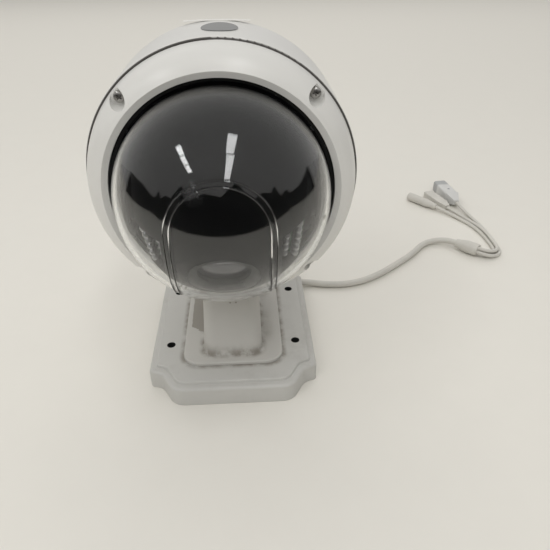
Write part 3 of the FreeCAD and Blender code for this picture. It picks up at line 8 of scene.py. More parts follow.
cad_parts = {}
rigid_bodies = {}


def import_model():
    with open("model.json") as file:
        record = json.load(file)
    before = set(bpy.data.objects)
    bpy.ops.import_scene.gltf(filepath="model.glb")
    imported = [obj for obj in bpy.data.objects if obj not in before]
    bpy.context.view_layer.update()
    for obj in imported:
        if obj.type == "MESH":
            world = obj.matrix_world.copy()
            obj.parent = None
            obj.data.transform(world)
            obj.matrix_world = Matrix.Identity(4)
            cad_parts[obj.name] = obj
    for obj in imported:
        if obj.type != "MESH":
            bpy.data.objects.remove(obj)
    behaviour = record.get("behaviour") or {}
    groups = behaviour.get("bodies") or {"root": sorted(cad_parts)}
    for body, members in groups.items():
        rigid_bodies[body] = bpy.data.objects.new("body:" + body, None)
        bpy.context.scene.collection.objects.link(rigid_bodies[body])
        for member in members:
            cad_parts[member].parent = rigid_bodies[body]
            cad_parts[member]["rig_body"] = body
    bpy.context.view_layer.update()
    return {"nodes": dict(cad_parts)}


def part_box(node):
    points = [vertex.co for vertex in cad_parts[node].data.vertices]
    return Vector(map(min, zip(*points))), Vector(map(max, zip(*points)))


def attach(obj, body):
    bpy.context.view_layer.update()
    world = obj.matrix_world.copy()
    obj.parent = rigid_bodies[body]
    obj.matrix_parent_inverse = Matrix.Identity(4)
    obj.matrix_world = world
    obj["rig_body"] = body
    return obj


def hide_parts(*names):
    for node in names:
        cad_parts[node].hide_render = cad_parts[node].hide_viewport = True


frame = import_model()


# ------------------------ wall plate
# The plate is a thin-walled aluminium die casting with a low step all round, stepped corners and
# four bolt holes. It is painted a cool greyish white. The line round the arm's foot is darkened by grime
# and painted shade, and the walls of the bolt holes are painted near-black as painted shade.
MM = 0.001


def new_group(name, inputs, outputs, kind="Shader"):
    """Node group with named sockets; returns the tree and its two end nodes."""
    tree = bpy.data.node_groups.new(name, kind + "NodeTree")
    for label, holds, value in inputs:
        socket = tree.interface.new_socket(label, in_out="INPUT", socket_type="NodeSocket" + holds)
        if value is not None:
            socket.default_value = value
    for label, holds in outputs:
        tree.interface.new_socket(label, in_out="OUTPUT", socket_type="NodeSocket" + holds)
    return tree, tree.nodes.new("NodeGroupInput"), tree.nodes.new("NodeGroupOutput")


def add(tree, kind, values=(), **settings):
    """New node with its settings and its unlinked inputs. A value that is a socket is linked."""
    node = tree.nodes.new(kind)
    for name, value in settings.items():
        setattr(node, name, value)
    for key, value in dict(values).items():
        if isinstance(value, bpy.types.NodeSocket):
            tree.links.new(value, node.inputs[key])
        else:
            node.inputs[key].default_value = value
    return node


def maths(tree, operation, first, second=0.0, third=0.0, clamp=False):
    return add(tree, "ShaderNodeMath", {0: first, 1: second, 2: third},
               operation=operation, use_clamp=clamp).outputs[0]


def product(tree, first, *others):
    for other in others:
        first = maths(tree, "MULTIPLY", first, other)
    return first


def inverse(tree, mask):
    return maths(tree, "SUBTRACT", 1.0, mask)


def object_place(tree):
    """Where a point of the surface lies on the piece, in metres."""
    return add(tree, "ShaderNodeTexCoord").outputs["Object"]


def noise_of(tree, where, scale, detail=3.0, roughness=0.5):
    return add(tree, "ShaderNodeTexNoise", {"Vector": where, "Scale": scale, "Detail": detail,
                                            "Roughness": roughness}).outputs["Fac"]


def ramp(tree, value, low, high):
    """Smooth step from 0 at low to 1 at high."""
    return add(tree, "ShaderNodeMapRange", {"Value": value, "From Min": low, "From Max": high},
               interpolation_type="SMOOTHSTEP").outputs["Result"]


def mixed(tree, share, first, second):
    """A share of the second colour over the first."""
    return add(tree, "ShaderNodeMix", {0: share, 6: first, 7: second}, data_type="RGBA").outputs[2]


CLOUD_SCALE, SPECK_SCALE, PEEL_SCALE = 28.0, 420.0, 700.0   # features in a metre
PEEL_DEPTH = 0.2 * MM
SKIN_OUTPUTS = [("Color", "Color"), ("Roughness", "Float"), ("Normal", "Vector")]


def give_out(tree, end, colour, rough, bump):
    tree.links.new(colour, end.inputs["Color"])
    tree.links.new(rough, end.inputs["Roughness"])
    tree.links.new(bump.outputs[0], end.inputs["Normal"])


def make_paint_skin():
    """Sprayed paint: faint clouds in the colour, grime and in places painted shade where a mask says, a fine
    orange peel.
    """
    tree, start, end = new_group(
        "Paint skin",
        [("Paint", "Color", (0.8, 0.8, 0.8, 1)), ("Dirt colour", "Color", (0.2, 0.17, 0.13, 1)),
         ("Dirt", "Float", 0.0), ("Clouding", "Float", 0.05), ("Gloss", "Float", 0.35),
         ("Peel", "Float", 0.12), ("Specks", "Float", 0.0)], SKIN_OUTPUTS)
    where = object_place(tree)
    clouds = noise_of(tree, where, CLOUD_SCALE, 4.0, 0.6)
    uneven = maths(tree, "SUBTRACT", clouds, 0.5)
    shade = maths(tree, "ADD", 1.0, product(tree, uneven, start.outputs["Clouding"], 2.0))
    shaded = add(tree, "ShaderNodeVectorMath", {0: start.outputs["Paint"], 3: shade}, operation="SCALE")
    grains = ramp(tree, noise_of(tree, where, SPECK_SCALE, 2.0, 0.7), 0.70, 0.78)
    specks = maths(tree, "MULTIPLY", grains, start.outputs["Specks"])
    # the mask mixes in its own colour: grime on some pieces, painted shade and a painted shadow on others
    dirt_and_shade = maths(tree, "MAXIMUM", start.outputs["Dirt"], specks, clamp=True)
    colour = mixed(tree, dirt_and_shade, shaded.outputs[0], start.outputs["Dirt colour"])
    rough = maths(tree, "ADD", start.outputs["Gloss"], maths(tree, "MULTIPLY", uneven, 0.12))
    rough = maths(tree, "ADD", rough, maths(tree, "MULTIPLY", dirt_and_shade, 0.3))
    peel = noise_of(tree, where, PEEL_SCALE, 2.0, 0.5)
    bump = add(tree, "ShaderNodeBump",
               {"Strength": start.outputs["Peel"], "Distance": PEEL_DEPTH, "Height": peel})
    give_out(tree, end, colour, rough, bump)
    return tree


def make_outline_mask():
    """Mask that is 1 on the outline of a rounded rectangle about the origin, seen along z."""
    tree, start, end = new_group(
        "Outline mask",
        [("Half x", "Float", 0.04), ("Half y", "Float", 0.06), ("Corner", "Float", 0.014),
         ("Width", "Float", 0.002)], [("Mask", "Float")])
    where = add(tree, "ShaderNodeSeparateXYZ", {0: object_place(tree)})
    over = []
    for axis, key in ((0, "Half x"), (1, "Half y")):
        reach = maths(tree, "SUBTRACT", start.outputs[key], start.outputs["Corner"])
        over.append(maths(tree, "SUBTRACT", maths(tree, "ABSOLUTE", where.outputs[axis]), reach))
    outside = [maths(tree, "MAXIMUM", value, 0.0) for value in over]
    squares = [maths(tree, "MULTIPLY", value, value) for value in outside]
    away = maths(tree, "SQRT", maths(tree, "ADD", *squares))
    inside = maths(tree, "MINIMUM", maths(tree, "MAXIMUM", *over), 0.0)
    distance = maths(tree, "SUBTRACT", maths(tree, "ADD", away, inside), start.outputs["Corner"])
    spread = maths(tree, "DIVIDE", maths(tree, "ABSOLUTE", distance), start.outputs["Width"])
    tree.links.new(inverse(tree, ramp(tree, spread, 0.0, 1.0)), end.inputs["Mask"])
    return tree


def new_material(name):
    material = bpy.data.materials.new(name)
    material.use_nodes = True
    tree = material.node_tree
    return material, tree, tree.nodes["Principled BSDF"]


def use_group(tree, group, **values):
    named = {key.replace("_", " "): value for key, value in values.items()}
    return add(tree, "ShaderNodeGroup", named, node_tree=group)


def wear(tree, shader, skin):
    """Feed a skin group's colour, roughness and normal to the shader."""
    tree.links.new(skin.outputs["Color"], shader.inputs["Base Color"])
    tree.links.new(skin.outputs["Roughness"], shader.inputs["Roughness"])
    tree.links.new(skin.outputs["Normal"], shader.inputs["Normal"])


def painted(name, shine=(), **finish):
    """Material in the paint skin. Shine holds plain values for the shader's own inputs."""
    material, tree, shader = new_material(name)
    wear(tree, shader, use_group(tree, paint_skin, **finish))
    for key, value in dict(shine).items():
        shader.inputs[key].default_value = value
    return material


def show(name, data):
    """New object at the origin, in the scene."""
    piece = bpy.data.objects.new(name, data)
    bpy.context.scene.collection.objects.link(piece)
    return piece


def apply_modifiers(piece):
    """Give the piece the mesh that its modifiers make, and remove them."""
    graph = bpy.context.evaluated_depsgraph_get()
    mesh = bpy.data.meshes.new_from_object(piece.evaluated_get(graph))
    piece.modifiers.clear()
    piece.data = mesh


def settle(piece, body, slot, *nodes, crease=32.0):
    """Shade the finished piece smoothly up to the crease angle, and hand it to its body."""
    apply_modifiers(piece)
    piece.data.shade_smooth()
    piece.data.set_sharp_from_angle(angle=math.radians(crease))
    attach(piece, body)
    if nodes:
        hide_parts(*nodes)
    return piece


def dress(piece, material):
    piece.data.materials.clear()
    piece.data.materials.append(material)


paint_skin = make_paint_skin()
outline_mask = make_outline_mask()
plate_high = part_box("wall_plate")[1]
plate_top = plate_high.z
FOOT_HALF_X, FOOT_HALF_Y, FOOT_CORNER = 39.8 * MM, 65.5 * MM, 14 * MM
PLATE_STEP, PLATE_LEDGE, PLATE_WALL = 2.5 * MM, 5.5 * MM, 4 * MM
LOWER_ROUND, UPPER_ROUND = 2.8 * MM, 1.3 * MM
SIDE_END, COVE_X, COVE_Y, TONGUE_X = 22.5 * MM, 10 * MM, 20 * MM, 21 * MM   # how far in from the corner
HOLE_RADIUS, BOSS_RADIUS, ARM_BOLT_RADIUS, WIRING_RADIUS = 3.5 * MM, 7.5 * MM, 2.2 * MM, 16 * MM
HOLE_SPOTS = [(sx * 51.4 * MM, sy * 38 * MM) for sx in (-1, 1) for sy in (-1, 1)]
ARM_BOLT_SPOTS = [(sx * 14.5 * MM, sy * 40 * MM) for sx in (-1, 1) for sy in (-1, 1)]


def filleted(corners, steps=6):
    """Outline with an arc at each corner. Corners are (x, y, radius), and go anticlockwise."""
    outline = []
    for index, (x, y, radius) in enumerate(corners):
        here = Vector((x, y))
        before = (Vector(corners[index - 1][:2]) - here).normalized()
        after = (Vector(corners[(index + 1) % len(corners)][:2]) - here).normalized()
        half = before.angle(after) / 2
        start = here + before * (radius / math.tan(half))
        end = here + after * (radius / math.tan(half))
        centre = here + (before + after).normalized() * (radius / math.sin(half))
        first, last = start - centre, end - centre
        turn = first.angle_signed(last)
        for step in range(steps + 1):
            outline.append(centre + Matrix.Rotation(-turn * step / steps, 2) @ first)
    return outline


def plate_loop(inset):
    """The plate's outline, a given way in from its edge. Its straight stretches stay parallel."""
    share = inset / PLATE_LEDGE
    side_round, curve_round = (4 - 1.5 * share) * MM, (13 - 2 * share) * MM
    side = (plate_high.x - inset, plate_high.y - SIDE_END - 0.78 * inset, side_round)
    cove = (plate_high.x - COVE_X - 0.67 * inset, plate_high.y - COVE_Y - 0.86 * inset, curve_round)
    tongue = (plate_high.x - TONGUE_X - 0.59 * inset, plate_high.y - inset, curve_round)
    corners = []
    for sign_x, sign_y in ((1, -1), (1, 1), (-1, 1), (-1, -1)):
        quarter = [(x * sign_x, y * sign_y, radius) for x, y, radius in (tongue, cove, side)]
        corners += quarter if sign_x * sign_y < 0 else quarter[::-1]
    return filleted(corners)


def built(work, name):
    """Mesh from a finished bmesh."""
    mesh = bpy.data.meshes.new(name)
    work.to_mesh(mesh)
    work.free()
    return mesh


def stacked(name, loops):
    """Closed mesh through outlines with as many points each, given with their heights."""
    work = bmesh.new()
    rings = [[work.verts.new((spot.x, spot.y, height)) for spot in outline] for outline, height in loops]
    for low, high in zip(rings, rings[1:]):
        for k in range(len(low)):
            following = (k + 1) % len(low)
            work.faces.new((low[k], low[following], high[following], high[k]))
    work.faces.new(rings[0][::-1])
    work.faces.new(rings[-1])
    bmesh.ops.recalc_face_normals(work, faces=work.faces)
    return show(name, built(work, name))


def round_loop(spot, radius, steps=32):
    return [Vector((spot[0] + radius * math.cos(2 * math.pi * k / steps),
                    spot[1] + radius * math.sin(2 * math.pi * k / steps))) for k in range(steps)]


def combine(piece, operation, tools, crossing=False):
    """Cut the tools out of a piece, or add them to it, and remove them."""
    for tool in tools:
        change = piece.modifiers.new("Shape", "BOOLEAN")
        change.operation = operation
        change.object = tool
        change.solver = "EXACT"
        change.use_self = crossing
        apply_modifiers(piece)
        bpy.data.objects.remove(tool)


def rolled(start_inset, end_inset, start_height, end_height, steps=5):
    """Insets and heights of a quarter round from an upright side to a level top."""
    return [(start_inset + (end_inset - start_inset) * (1 - math.cos(math.pi / 2 * step / steps)),
             start_height + (end_height - start_height) * math.sin(math.pi / 2 * step / steps))
            for step in range(steps + 1)]


step_height = plate_top - PLATE_STEP
section = [(0.4 * MM, 0), (0, 0.4 * MM)] + rolled(0, LOWER_ROUND, step_height - LOWER_ROUND, step_height)
section += [(PLATE_LEDGE - 0.9 * MM, step_height), (PLATE_LEDGE - 0.25 * MM, step_height + 0.2 * MM)]
section += rolled(PLATE_LEDGE, PLATE_LEDGE + 1.1 * MM, plate_top - UPPER_ROUND, plate_top)
plate = stacked("wall_plate_skin", [(plate_loop(inset), height) for inset, height in section])
cavity_top = plate_top - PLATE_WALL
combine(plate, "DIFFERENCE", [stacked("cavity", [(plate_loop(PLATE_WALL), -1 * MM),
                                                (plate_loop(PLATE_WALL), cavity_top)])])
combine(plate, "UNION", [stacked("boss", [(round_loop(spot, BOSS_RADIUS), 0),
                                          (round_loop(spot, BOSS_RADIUS), cavity_top + 1 * MM)])
                         for spot in HOLE_SPOTS])
drilled = [(spot, HOLE_RADIUS) for spot in HOLE_SPOTS]
drilled += [(spot, ARM_BOLT_RADIUS) for spot in ARM_BOLT_SPOTS] + [((0, 0), WIRING_RADIUS)]
combine(plate, "DIFFERENCE", [stacked("drill", [(round_loop(spot, radius), -1 * MM),
                                                (round_loop(spot, radius), plate_top + 1 * MM)])
                              for spot, radius in drilled])
cable_low, cable_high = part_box("cable_grommet")
NOTCH_RADIUS, NOTCH_LENGTH = 5 * MM, 24 * MM
notch_y, notch_z = (cable_low.y + cable_high.y) / 2, (cable_low.z + cable_high.z) / 2
notch = stacked("notch", [(round_loop((0, 0), NOTCH_RADIUS), height) for height in (0, NOTCH_LENGTH)])
notch.data.transform(Matrix.Translation((cable_low.x - 5 * MM, notch_y, notch_z)) @
                     Matrix.Rotation(math.pi / 2, 4, "Y"))
combine(plate, "DIFFERENCE", [notch])
settle(plate, "base", "painted_plate", "wall_plate", crease=38.0)
plate_paint, tree, shader = new_material("plate paint")
foot_line = use_group(tree, outline_mask, Half_x=FOOT_HALF_X + 0.6 * MM, Half_y=FOOT_HALF_Y + 0.6 * MM,
                      Corner=FOOT_CORNER, Width=4.2 * MM)
where = object_place(tree)
patches = ramp(tree, noise_of(tree, where, 60.0, 5.0, 0.65), 0.30, 0.62)
smears = ramp(tree, noise_of(tree, where, 24.0, 5.0, 0.7), 0.50, 0.75)
# grime and painted shade along the line round the arm's foot, and faint grime smears over the plate
dirt_and_shade = maths(tree, "ADD", product(tree, foot_line.outputs["Mask"], patches, 0.8), product(tree, smears, 0.2))
wear(tree, shader, use_group(tree, paint_skin, Paint=(0.49, 0.485, 0.46, 1), Dirt=dirt_and_shade, Clouding=0.05,
                             Dirt_colour=(0.20, 0.18, 0.15, 1), Gloss=0.38, Peel=0.15, Specks=0.25))
dress(plate, plate_paint)
# the walls of the bolt holes are painted near-black: painted shade down the holes
plate.data.materials.append(painted("bolt hole shade", Paint=(0.012, 0.013, 0.012, 1), Clouding=0.3,
                                    Gloss=0.7, Peel=0.4))
for face in plate.data.polygons:
    if any(math.hypot(face.center.x - x, face.center.y - y) < HOLE_RADIUS for x, y in HOLE_SPOTS):
        face.material_index = 1


# ------------------------ cable grommet
# A soft moulded rubber ring, pressed into the notch of the plate's skirt.
# It grips the cable where it comes out.
def dress_nodes(material, *names):
    for name in names:
        dress(frame["nodes"][name], material)


dress_nodes(painted("grommet rubber", Paint=(0.32, 0.31, 0.29, 1), Clouding=0.1, Gloss=0.6, Peel=0.3),
            "cable_grommet")


# ------------------------ arm
# The arm and its foot pad are one hollow painted casting, bolted up through the plate.
# Its foot is stained: a brown patch of old sealant lies left of the arm. Grime and painted shade ring
# its base, and a painted shadow of the arm lies on the pad to its right.
ARM_HALF_X, ARM_HALF_Y, ARM_CORNER = 23.5 * MM, 57 * MM, 9 * MM
ARM_TOP_HALF_X, ARM_TOP_FRONT, ARM_TOP_REAR = 21.5 * MM, -36 * MM, 16 * MM
ARM_FULL = 80.3 * MM                        # the arm's height before its saddle is cut
ARM_WALL, SADDLE_WEB, CABLE_HOLE = 4 * MM, 17 * MM, 8 * MM
AXIS_Z, SADDLE_RADIUS = 165 * MM, 92.7 * MM
PAD_ROUND = 1.4 * MM
FLARE = [(-1.6, 0.0), (-0.7, 0.25), (-0.2, 0.8), (0.0, 1.8)]   # inset and rise of the arm's spread foot, mm
pad_top = plate_top + 3 * MM


def block_loop(half_x, low_y, high_y, corner, steps=10):
    """Outline of a rectangle with round corners."""
    return filleted([(half_x, low_y, corner), (half_x, high_y, corner),
                     (-half_x, high_y, corner), (-half_x, low_y, corner)], steps)


def arm_loop(share, inset, corner):
    """The arm's outline, a share of the way up from its foot to its top."""
    return block_loop(ARM_HALF_X + share * (ARM_TOP_HALF_X - ARM_HALF_X) - inset,
                      -ARM_HALF_Y + share * (ARM_TOP_FRONT + ARM_HALF_Y) + inset,
                      ARM_HALF_Y + share * (ARM_TOP_REAR - ARM_HALF_Y) - inset, corner)


web_share = (ARM_FULL - SADDLE_WEB - pad_top) / (ARM_FULL - pad_top)
pad_section = [(0.3 * MM, plate_top), (0, plate_top + 0.3 * MM)]
pad_section += rolled(0, PAD_ROUND, pad_top - PAD_ROUND, pad_top)
arm = stacked("bracket_arm_skin", [
    (block_loop(FOOT_HALF_X - inset, -FOOT_HALF_Y + inset, FOOT_HALF_Y - inset, FOOT_CORNER - inset), height)
    for inset, height in pad_section])
pillar_loops = [(arm_loop(0, 0, ARM_CORNER), pad_top - 1 * MM)]
pillar_loops += [(arm_loop(rise * MM / (ARM_FULL - pad_top), inset * MM, ARM_CORNER - inset * MM),
                  pad_top + rise * MM) for inset, rise in FLARE]
pillar_loops.append((arm_loop(1, 0, ARM_CORNER), ARM_FULL))
combine(arm, "UNION", [stacked("pillar", pillar_loops)])
combine(arm, "DIFFERENCE", [
    stacked("hollow", [(arm_loop(0, ARM_WALL, ARM_CORNER - ARM_WALL), plate_top - 1 * MM),
                       (arm_loop(0, ARM_WALL, ARM_CORNER - ARM_WALL), pad_top),
                       (arm_loop(web_share, ARM_WALL, ARM_CORNER - ARM_WALL), ARM_FULL - SADDLE_WEB)]),
    stacked("cable way", [(round_loop((0, 0), CABLE_HOLE), plate_top),
                          (round_loop((0, 0), CABLE_HOLE), ARM_FULL + 5 * MM)])])
saddle = stacked("saddle", [(round_loop((0, 0), SADDLE_RADIUS, 160), -100 * MM),
                            (round_loop((0, 0), SADDLE_RADIUS, 160), 100 * MM)])
saddle.data.transform(Matrix.Translation((0, 0, AXIS_Z)) @ Matrix.Rotation(math.pi / 2, 4, "X"))
combine(arm, "DIFFERENCE", [saddle])
settle(arm, "base", "painted_white", "bracket_arm", crease=40.0)


def near_spot(tree, where, spot, full, none):
    """Mask about a spot: 1 nearer than full, 0 further than none."""
    away = add(tree, "ShaderNodeVectorMath", {0: where, 1: spot}, operation="DISTANCE")
    return inverse(tree, ramp(tree, away.outputs["Value"], full, none))


PIN_PRICKS = [Vector((across, -42.3, 62.9)) * MM for across in (-0.7, 3.8)]
arm_paint, tree, shader = new_material("arm paint")
where = object_place(tree)
across, along, up = add(tree, "ShaderNodeSeparateXYZ", {0: where}).outputs
leftward = maths(tree, "MULTIPLY", across, -1.0)
low_down = inverse(tree, ramp(tree, up, plate_top + 3 * MM, plate_top + 14 * MM))
# grime and painted shade round the arm's base, fading out up the arm
base_line = use_group(tree, outline_mask, Half_x=ARM_HALF_X, Half_y=ARM_HALF_Y, Corner=ARM_CORNER,
                      Width=5.5 * MM)
patches = ramp(tree, noise_of(tree, where, 85.0, 5.0, 0.65), 0.36, 0.62)
base_dirt_and_shade = product(tree, base_line.outputs["Mask"], patches, low_down)
# the sealant patch: from the arm's left side to the pad's edge, behind a ragged slanting front
ragged = product(tree, maths(tree, "SUBTRACT", noise_of(tree, where, 130.0, 4.0, 0.7), 0.5), 14 * MM)
slant = maths(tree, "SUBTRACT", maths(tree, "MULTIPLY", across, -0.9), 50 * MM)
behind = maths(tree, "SUBTRACT", maths(tree, "ADD", along, ragged), slant)
outermost = maths(tree, "ADD", leftward, maths(tree, "MULTIPLY", ragged, 0.15))
stain = product(tree, ramp(tree, behind, -0.8 * MM, 0.8 * MM), ramp(tree, leftward, 23.6 * MM, 24.2 * MM),
                inverse(tree, ramp(tree, outermost, 35.4 * MM, 36.0 * MM)), low_down)
# painted shadow of the arm, along its right side on the pad
beside = product(tree, ramp(tree, across, 22 * MM, 24.5 * MM),
                 inverse(tree, ramp(tree, across, 27 * MM, 36 * MM)))
arm_shadow = product(tree, beside, low_down, ramp(tree, noise_of(tree, where, 40.0, 4.0, 0.6), 0.3, 0.7),
                ramp(tree, along, -44 * MM, -30 * MM))
dirt_and_shade = maths(tree, "MAXIMUM", maths(tree, "MULTIPLY", base_dirt_and_shade, 0.85), maths(tree, "MULTIPLY", stain, 0.7))
dirt_and_shade = maths(tree, "MAXIMUM", dirt_and_shade, maths(tree, "MULTIPLY", arm_shadow, 0.5))
for spot in PIN_PRICKS:
    dirt_and_shade = maths(tree, "MAXIMUM", dirt_and_shade, near_spot(tree, where, spot, 0.45 * MM, 0.9 * MM), clamp=True)
wear(tree, shader, use_group(tree, paint_skin, Paint=(0.49, 0.48, 0.45, 1), Dirt=dirt_and_shade, Clouding=0.06,
                             Dirt_colour=(0.19, 0.17, 0.14, 1), Gloss=0.4, Peel=0.15, Specks=0.2))
dress(arm, arm_paint)


# ------------------------ gaskets and wiper
# Die-cut black foam between the arm and the housing, in the seam behind the front ring,
# and the flocked lip that wipes the bubble as it turns.
dress_nodes(painted("gasket foam", Paint=(0.018, 0.018, 0.018, 1), Clouding=0.3, Gloss=0.75, Peel=0.5),
            "arm_gasket", "ring_gasket")
dress_nodes(painted("dusty flock", Paint=(0.006, 0.006, 0.006, 1), Dirt_colour=(0.3, 0.3, 0.29, 1),
                    Clouding=0.3, Gloss=0.8, Peel=0.5, Specks=0.5), "wiper_seal")


# ------------------------ housing
# A deep round aluminium can, die cast and sprayed warm white inside and out.
# Its front edge is rounded towards the seam, along which the paint is darkened as painted shade.
SEAM_Y = -41.5 * MM


def soft_edged_copy(node, width_of, slot, sharp=24.0):
    """Copy of a CAD node whose sharp edges are rounded, each by the width that width_of gives."""
    source = frame["nodes"][node]
    work = bmesh.new()
    work.from_mesh(source.data)
    bmesh.ops.remove_doubles(work, verts=work.verts, dist=2e-6)
    bmesh.ops.dissolve_limit(work, angle_limit=math.radians(0.4), verts=work.verts, edges=work.edges)
    weight = work.edges.layers.float.new("bevel_weight_edge")
    widest = 4 * MM
    for edge in work.edges:
        if len(edge.link_faces) == 2 and edge.calc_face_angle() > math.radians(sharp):
            edge[weight] = width_of((edge.verts[0].co + edge.verts[1].co) / 2) / widest
    piece = show(node + "_skin", built(work, node + "_skin"))
    bevel = piece.modifiers.new("Rounding", "BEVEL")
    bevel.limit_method = "WEIGHT"
    bevel.width = widest
    bevel.segments = 3
    level = piece.modifiers.new("Level shading", "WEIGHTED_NORMAL")
    level.keep_sharp = True
    return settle(piece, source["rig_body"], slot, node)


def housing_edge_width(spot):
    return 0.6 * MM if spot.y < SEAM_Y + 1 * MM else 0.3 * MM


housing = soft_edged_copy("housing_shell", housing_edge_width, "painted_white")
white_paint, tree, shader = new_material("white paint")
along = add(tree, "ShaderNodeSeparateXYZ", {0: object_place(tree)}).outputs[1]
from_seam = maths(tree, "ABSOLUTE", maths(tree, "SUBTRACT", along, SEAM_Y - 0.2 * MM))
# a thin band along the seam with the front ring is darkened: painted shade in the groove
seam_shade = inverse(tree, ramp(tree, from_seam, 0.5 * MM, 1.1 * MM))
wear(tree, shader, use_group(tree, paint_skin, Paint=(0.665, 0.66, 0.635, 1), Dirt=seam_shade, Clouding=0.035,
                             Dirt_colour=(0.06, 0.055, 0.05, 1), Gloss=0.32, Peel=0.1, Specks=0.04))
shader.inputs["Coat Weight"].default_value = 0.15
shader.inputs["Coat Roughness"].default_value = 0.2
dress(housing, white_paint)


# ------------------------ front ring
# The ring is cast and painted like the housing, with a rounded ridge and a dull inner slope.
# Four deep recesses take its screws.
RIDGE_DEPTH, RIDGE_RADIUS, LIP_RADIUS = 24 * MM, 77 * MM, 73 * MM


def ring_edge_width(spot):
    out = math.hypot(spot.x, spot.z - AXIS_Z)
    depth = SEAM_Y - spot.y
    if depth > RIDGE_DEPTH - 0.3 * MM and abs(out - RIDGE_RADIUS) < 0.4 * MM:
        return 1.6 * MM
    if abs(out - LIP_RADIUS) < 0.4 * MM:
        return 0.4 * MM
    return 0.45 * MM if depth > 1 * MM else 0.2 * MM


dress(soft_edged_copy("front_ring", ring_edge_width, "painted_white"), white_paint)


# ------------------------ screws
# Stainless pan-head screws with a cross recess, cold headed. Four hold the front ring, at the bottom
# of its recesses; the screws inside, the bearing, the trunnions and the guide rods are steel too.
STREAK_SCALE, STREAK_DEPTH = 900.0, 0.1 * MM
STAIN_COLOUR = (0.16, 0.15, 0.14, 1)


def make_steel_skin():
    """Turned or rolled metal: fine marks, dull stains and a faint uneven shine."""
    tree, start, end = new_group(
        "Steel skin", [("Metal", "Color", (0.6, 0.6, 0.6, 1)), ("Gloss", "Float", 0.3)], SKIN_OUTPUTS)
    where = object_place(tree)
    marks = noise_of(tree, where, STREAK_SCALE, 3.0, 0.6)
    stains = noise_of(tree, where, 60.0, 4.0, 0.6)
    colour = mixed(tree, maths(tree, "MULTIPLY", stains, 0.35), start.outputs["Metal"], STAIN_COLOUR)
    rough = maths(tree, "ADD", start.outputs["Gloss"], maths(tree, "MULTIPLY", marks, 0.2))
    bump = add(tree, "ShaderNodeBump", {"Strength": 0.15, "Distance": STREAK_DEPTH, "Height": marks})
    give_out(tree, end, colour, rough, bump)
    return tree


def metal(name, colour, gloss):
    material, tree, shader = new_material(name)
    shader.inputs["Metallic"].default_value = 1.0
    wear(tree, shader, use_group(tree, steel_skin, Metal=colour, Gloss=gloss))
    return material


def turned_mesh(name, profile, steps):
    """Mesh turned about z from (radius, height) corners; the first and last may lie on the axis."""
    work = bmesh.new()
    rings = []
    for radius, height in profile:
        if radius < 1e-7:
            rings.append([work.verts.new((0, 0, height))])
        else:
            rings.append([work.verts.new((radius * math.cos(2 * math.pi * k / steps),
                                          radius * math.sin(2 * math.pi * k / steps), height))
                          for k in range(steps)])
    for near, far in zip(rings, rings[1:]):
        for k in range(steps):
            corners = [near[k % len(near)], near[(k + 1) % len(near)],
                       far[(k + 1) % len(far)], far[k % len(far)]]
            corners = [vert for place, vert in enumerate(corners) if vert not in corners[:place]]
            if len(corners) > 2:
                work.faces.new(corners)
    bmesh.ops.recalc_face_normals(work, faces=work.faces)
    return built(work, name)


def pan_head_screw(name, head_radius, head_height, shank_radius, shank_length):
    """A pan-head screw along z, its seat at zero, with a tapered cross recess."""
    crown = [(head_radius * math.sin(angle), head_height * (0.45 + 0.55 * math.cos(angle)))
             for angle in [math.radians(step) for step in (0, 18, 36, 54, 72, 90)]]
    profile = crown + [(head_radius, 0), (shank_radius, 0), (shank_radius, -shank_length), (0, -shank_length)]
    screw = show(name, turned_mesh(name, profile, 28))
    cross = bmesh.new()
    for turn in (0, math.pi / 2):
        long_top, long_low = head_radius * 0.58, head_radius * 0.28
        wide_top, wide_low = head_radius * 0.13, head_radius * 0.09
        top, low = head_height * 1.1, head_height * 0.32
        corners = [cross.verts.new(Matrix.Rotation(turn, 3, "Z") @ Vector((sx * x, sy * y, z)))
                   for x, y, z in ((long_low, wide_low, low), (long_top, wide_top, top))
                   for sx, sy in ((-1, -1), (1, -1), (1, 1), (-1, 1))]
        for face in ((3, 2, 1, 0), (4, 5, 6, 7), (0, 1, 5, 4), (1, 2, 6, 5), (2, 3, 7, 6), (3, 0, 4, 7)):
            cross.faces.new([corners[index] for index in face])
    combine(screw, "DIFFERENCE", [show(name + "_cross", built(cross, name + "_cross"))], crossing=True)
    return screw


def geometry_tree(name, inputs):
    """Geometry Nodes tree with named inputs; returns it with its two end nodes."""
    return new_group(name, [("Geometry", "Geometry", None)] + inputs, [("Geometry", "Geometry")], "Geometry")


def grow(name, tree, values):
    """Object that a geometry tree grows from an empty mesh."""
    piece = show(name, bpy.data.meshes.new(name))
    modifier = piece.modifiers.new("Nodes", "NODES")
    modifier.node_group = tree
    for item in tree.interface.items_tree:
        if item.in_out == "INPUT" and item.name in values:
            modifier[item.identifier] = values[item.name]
    return piece


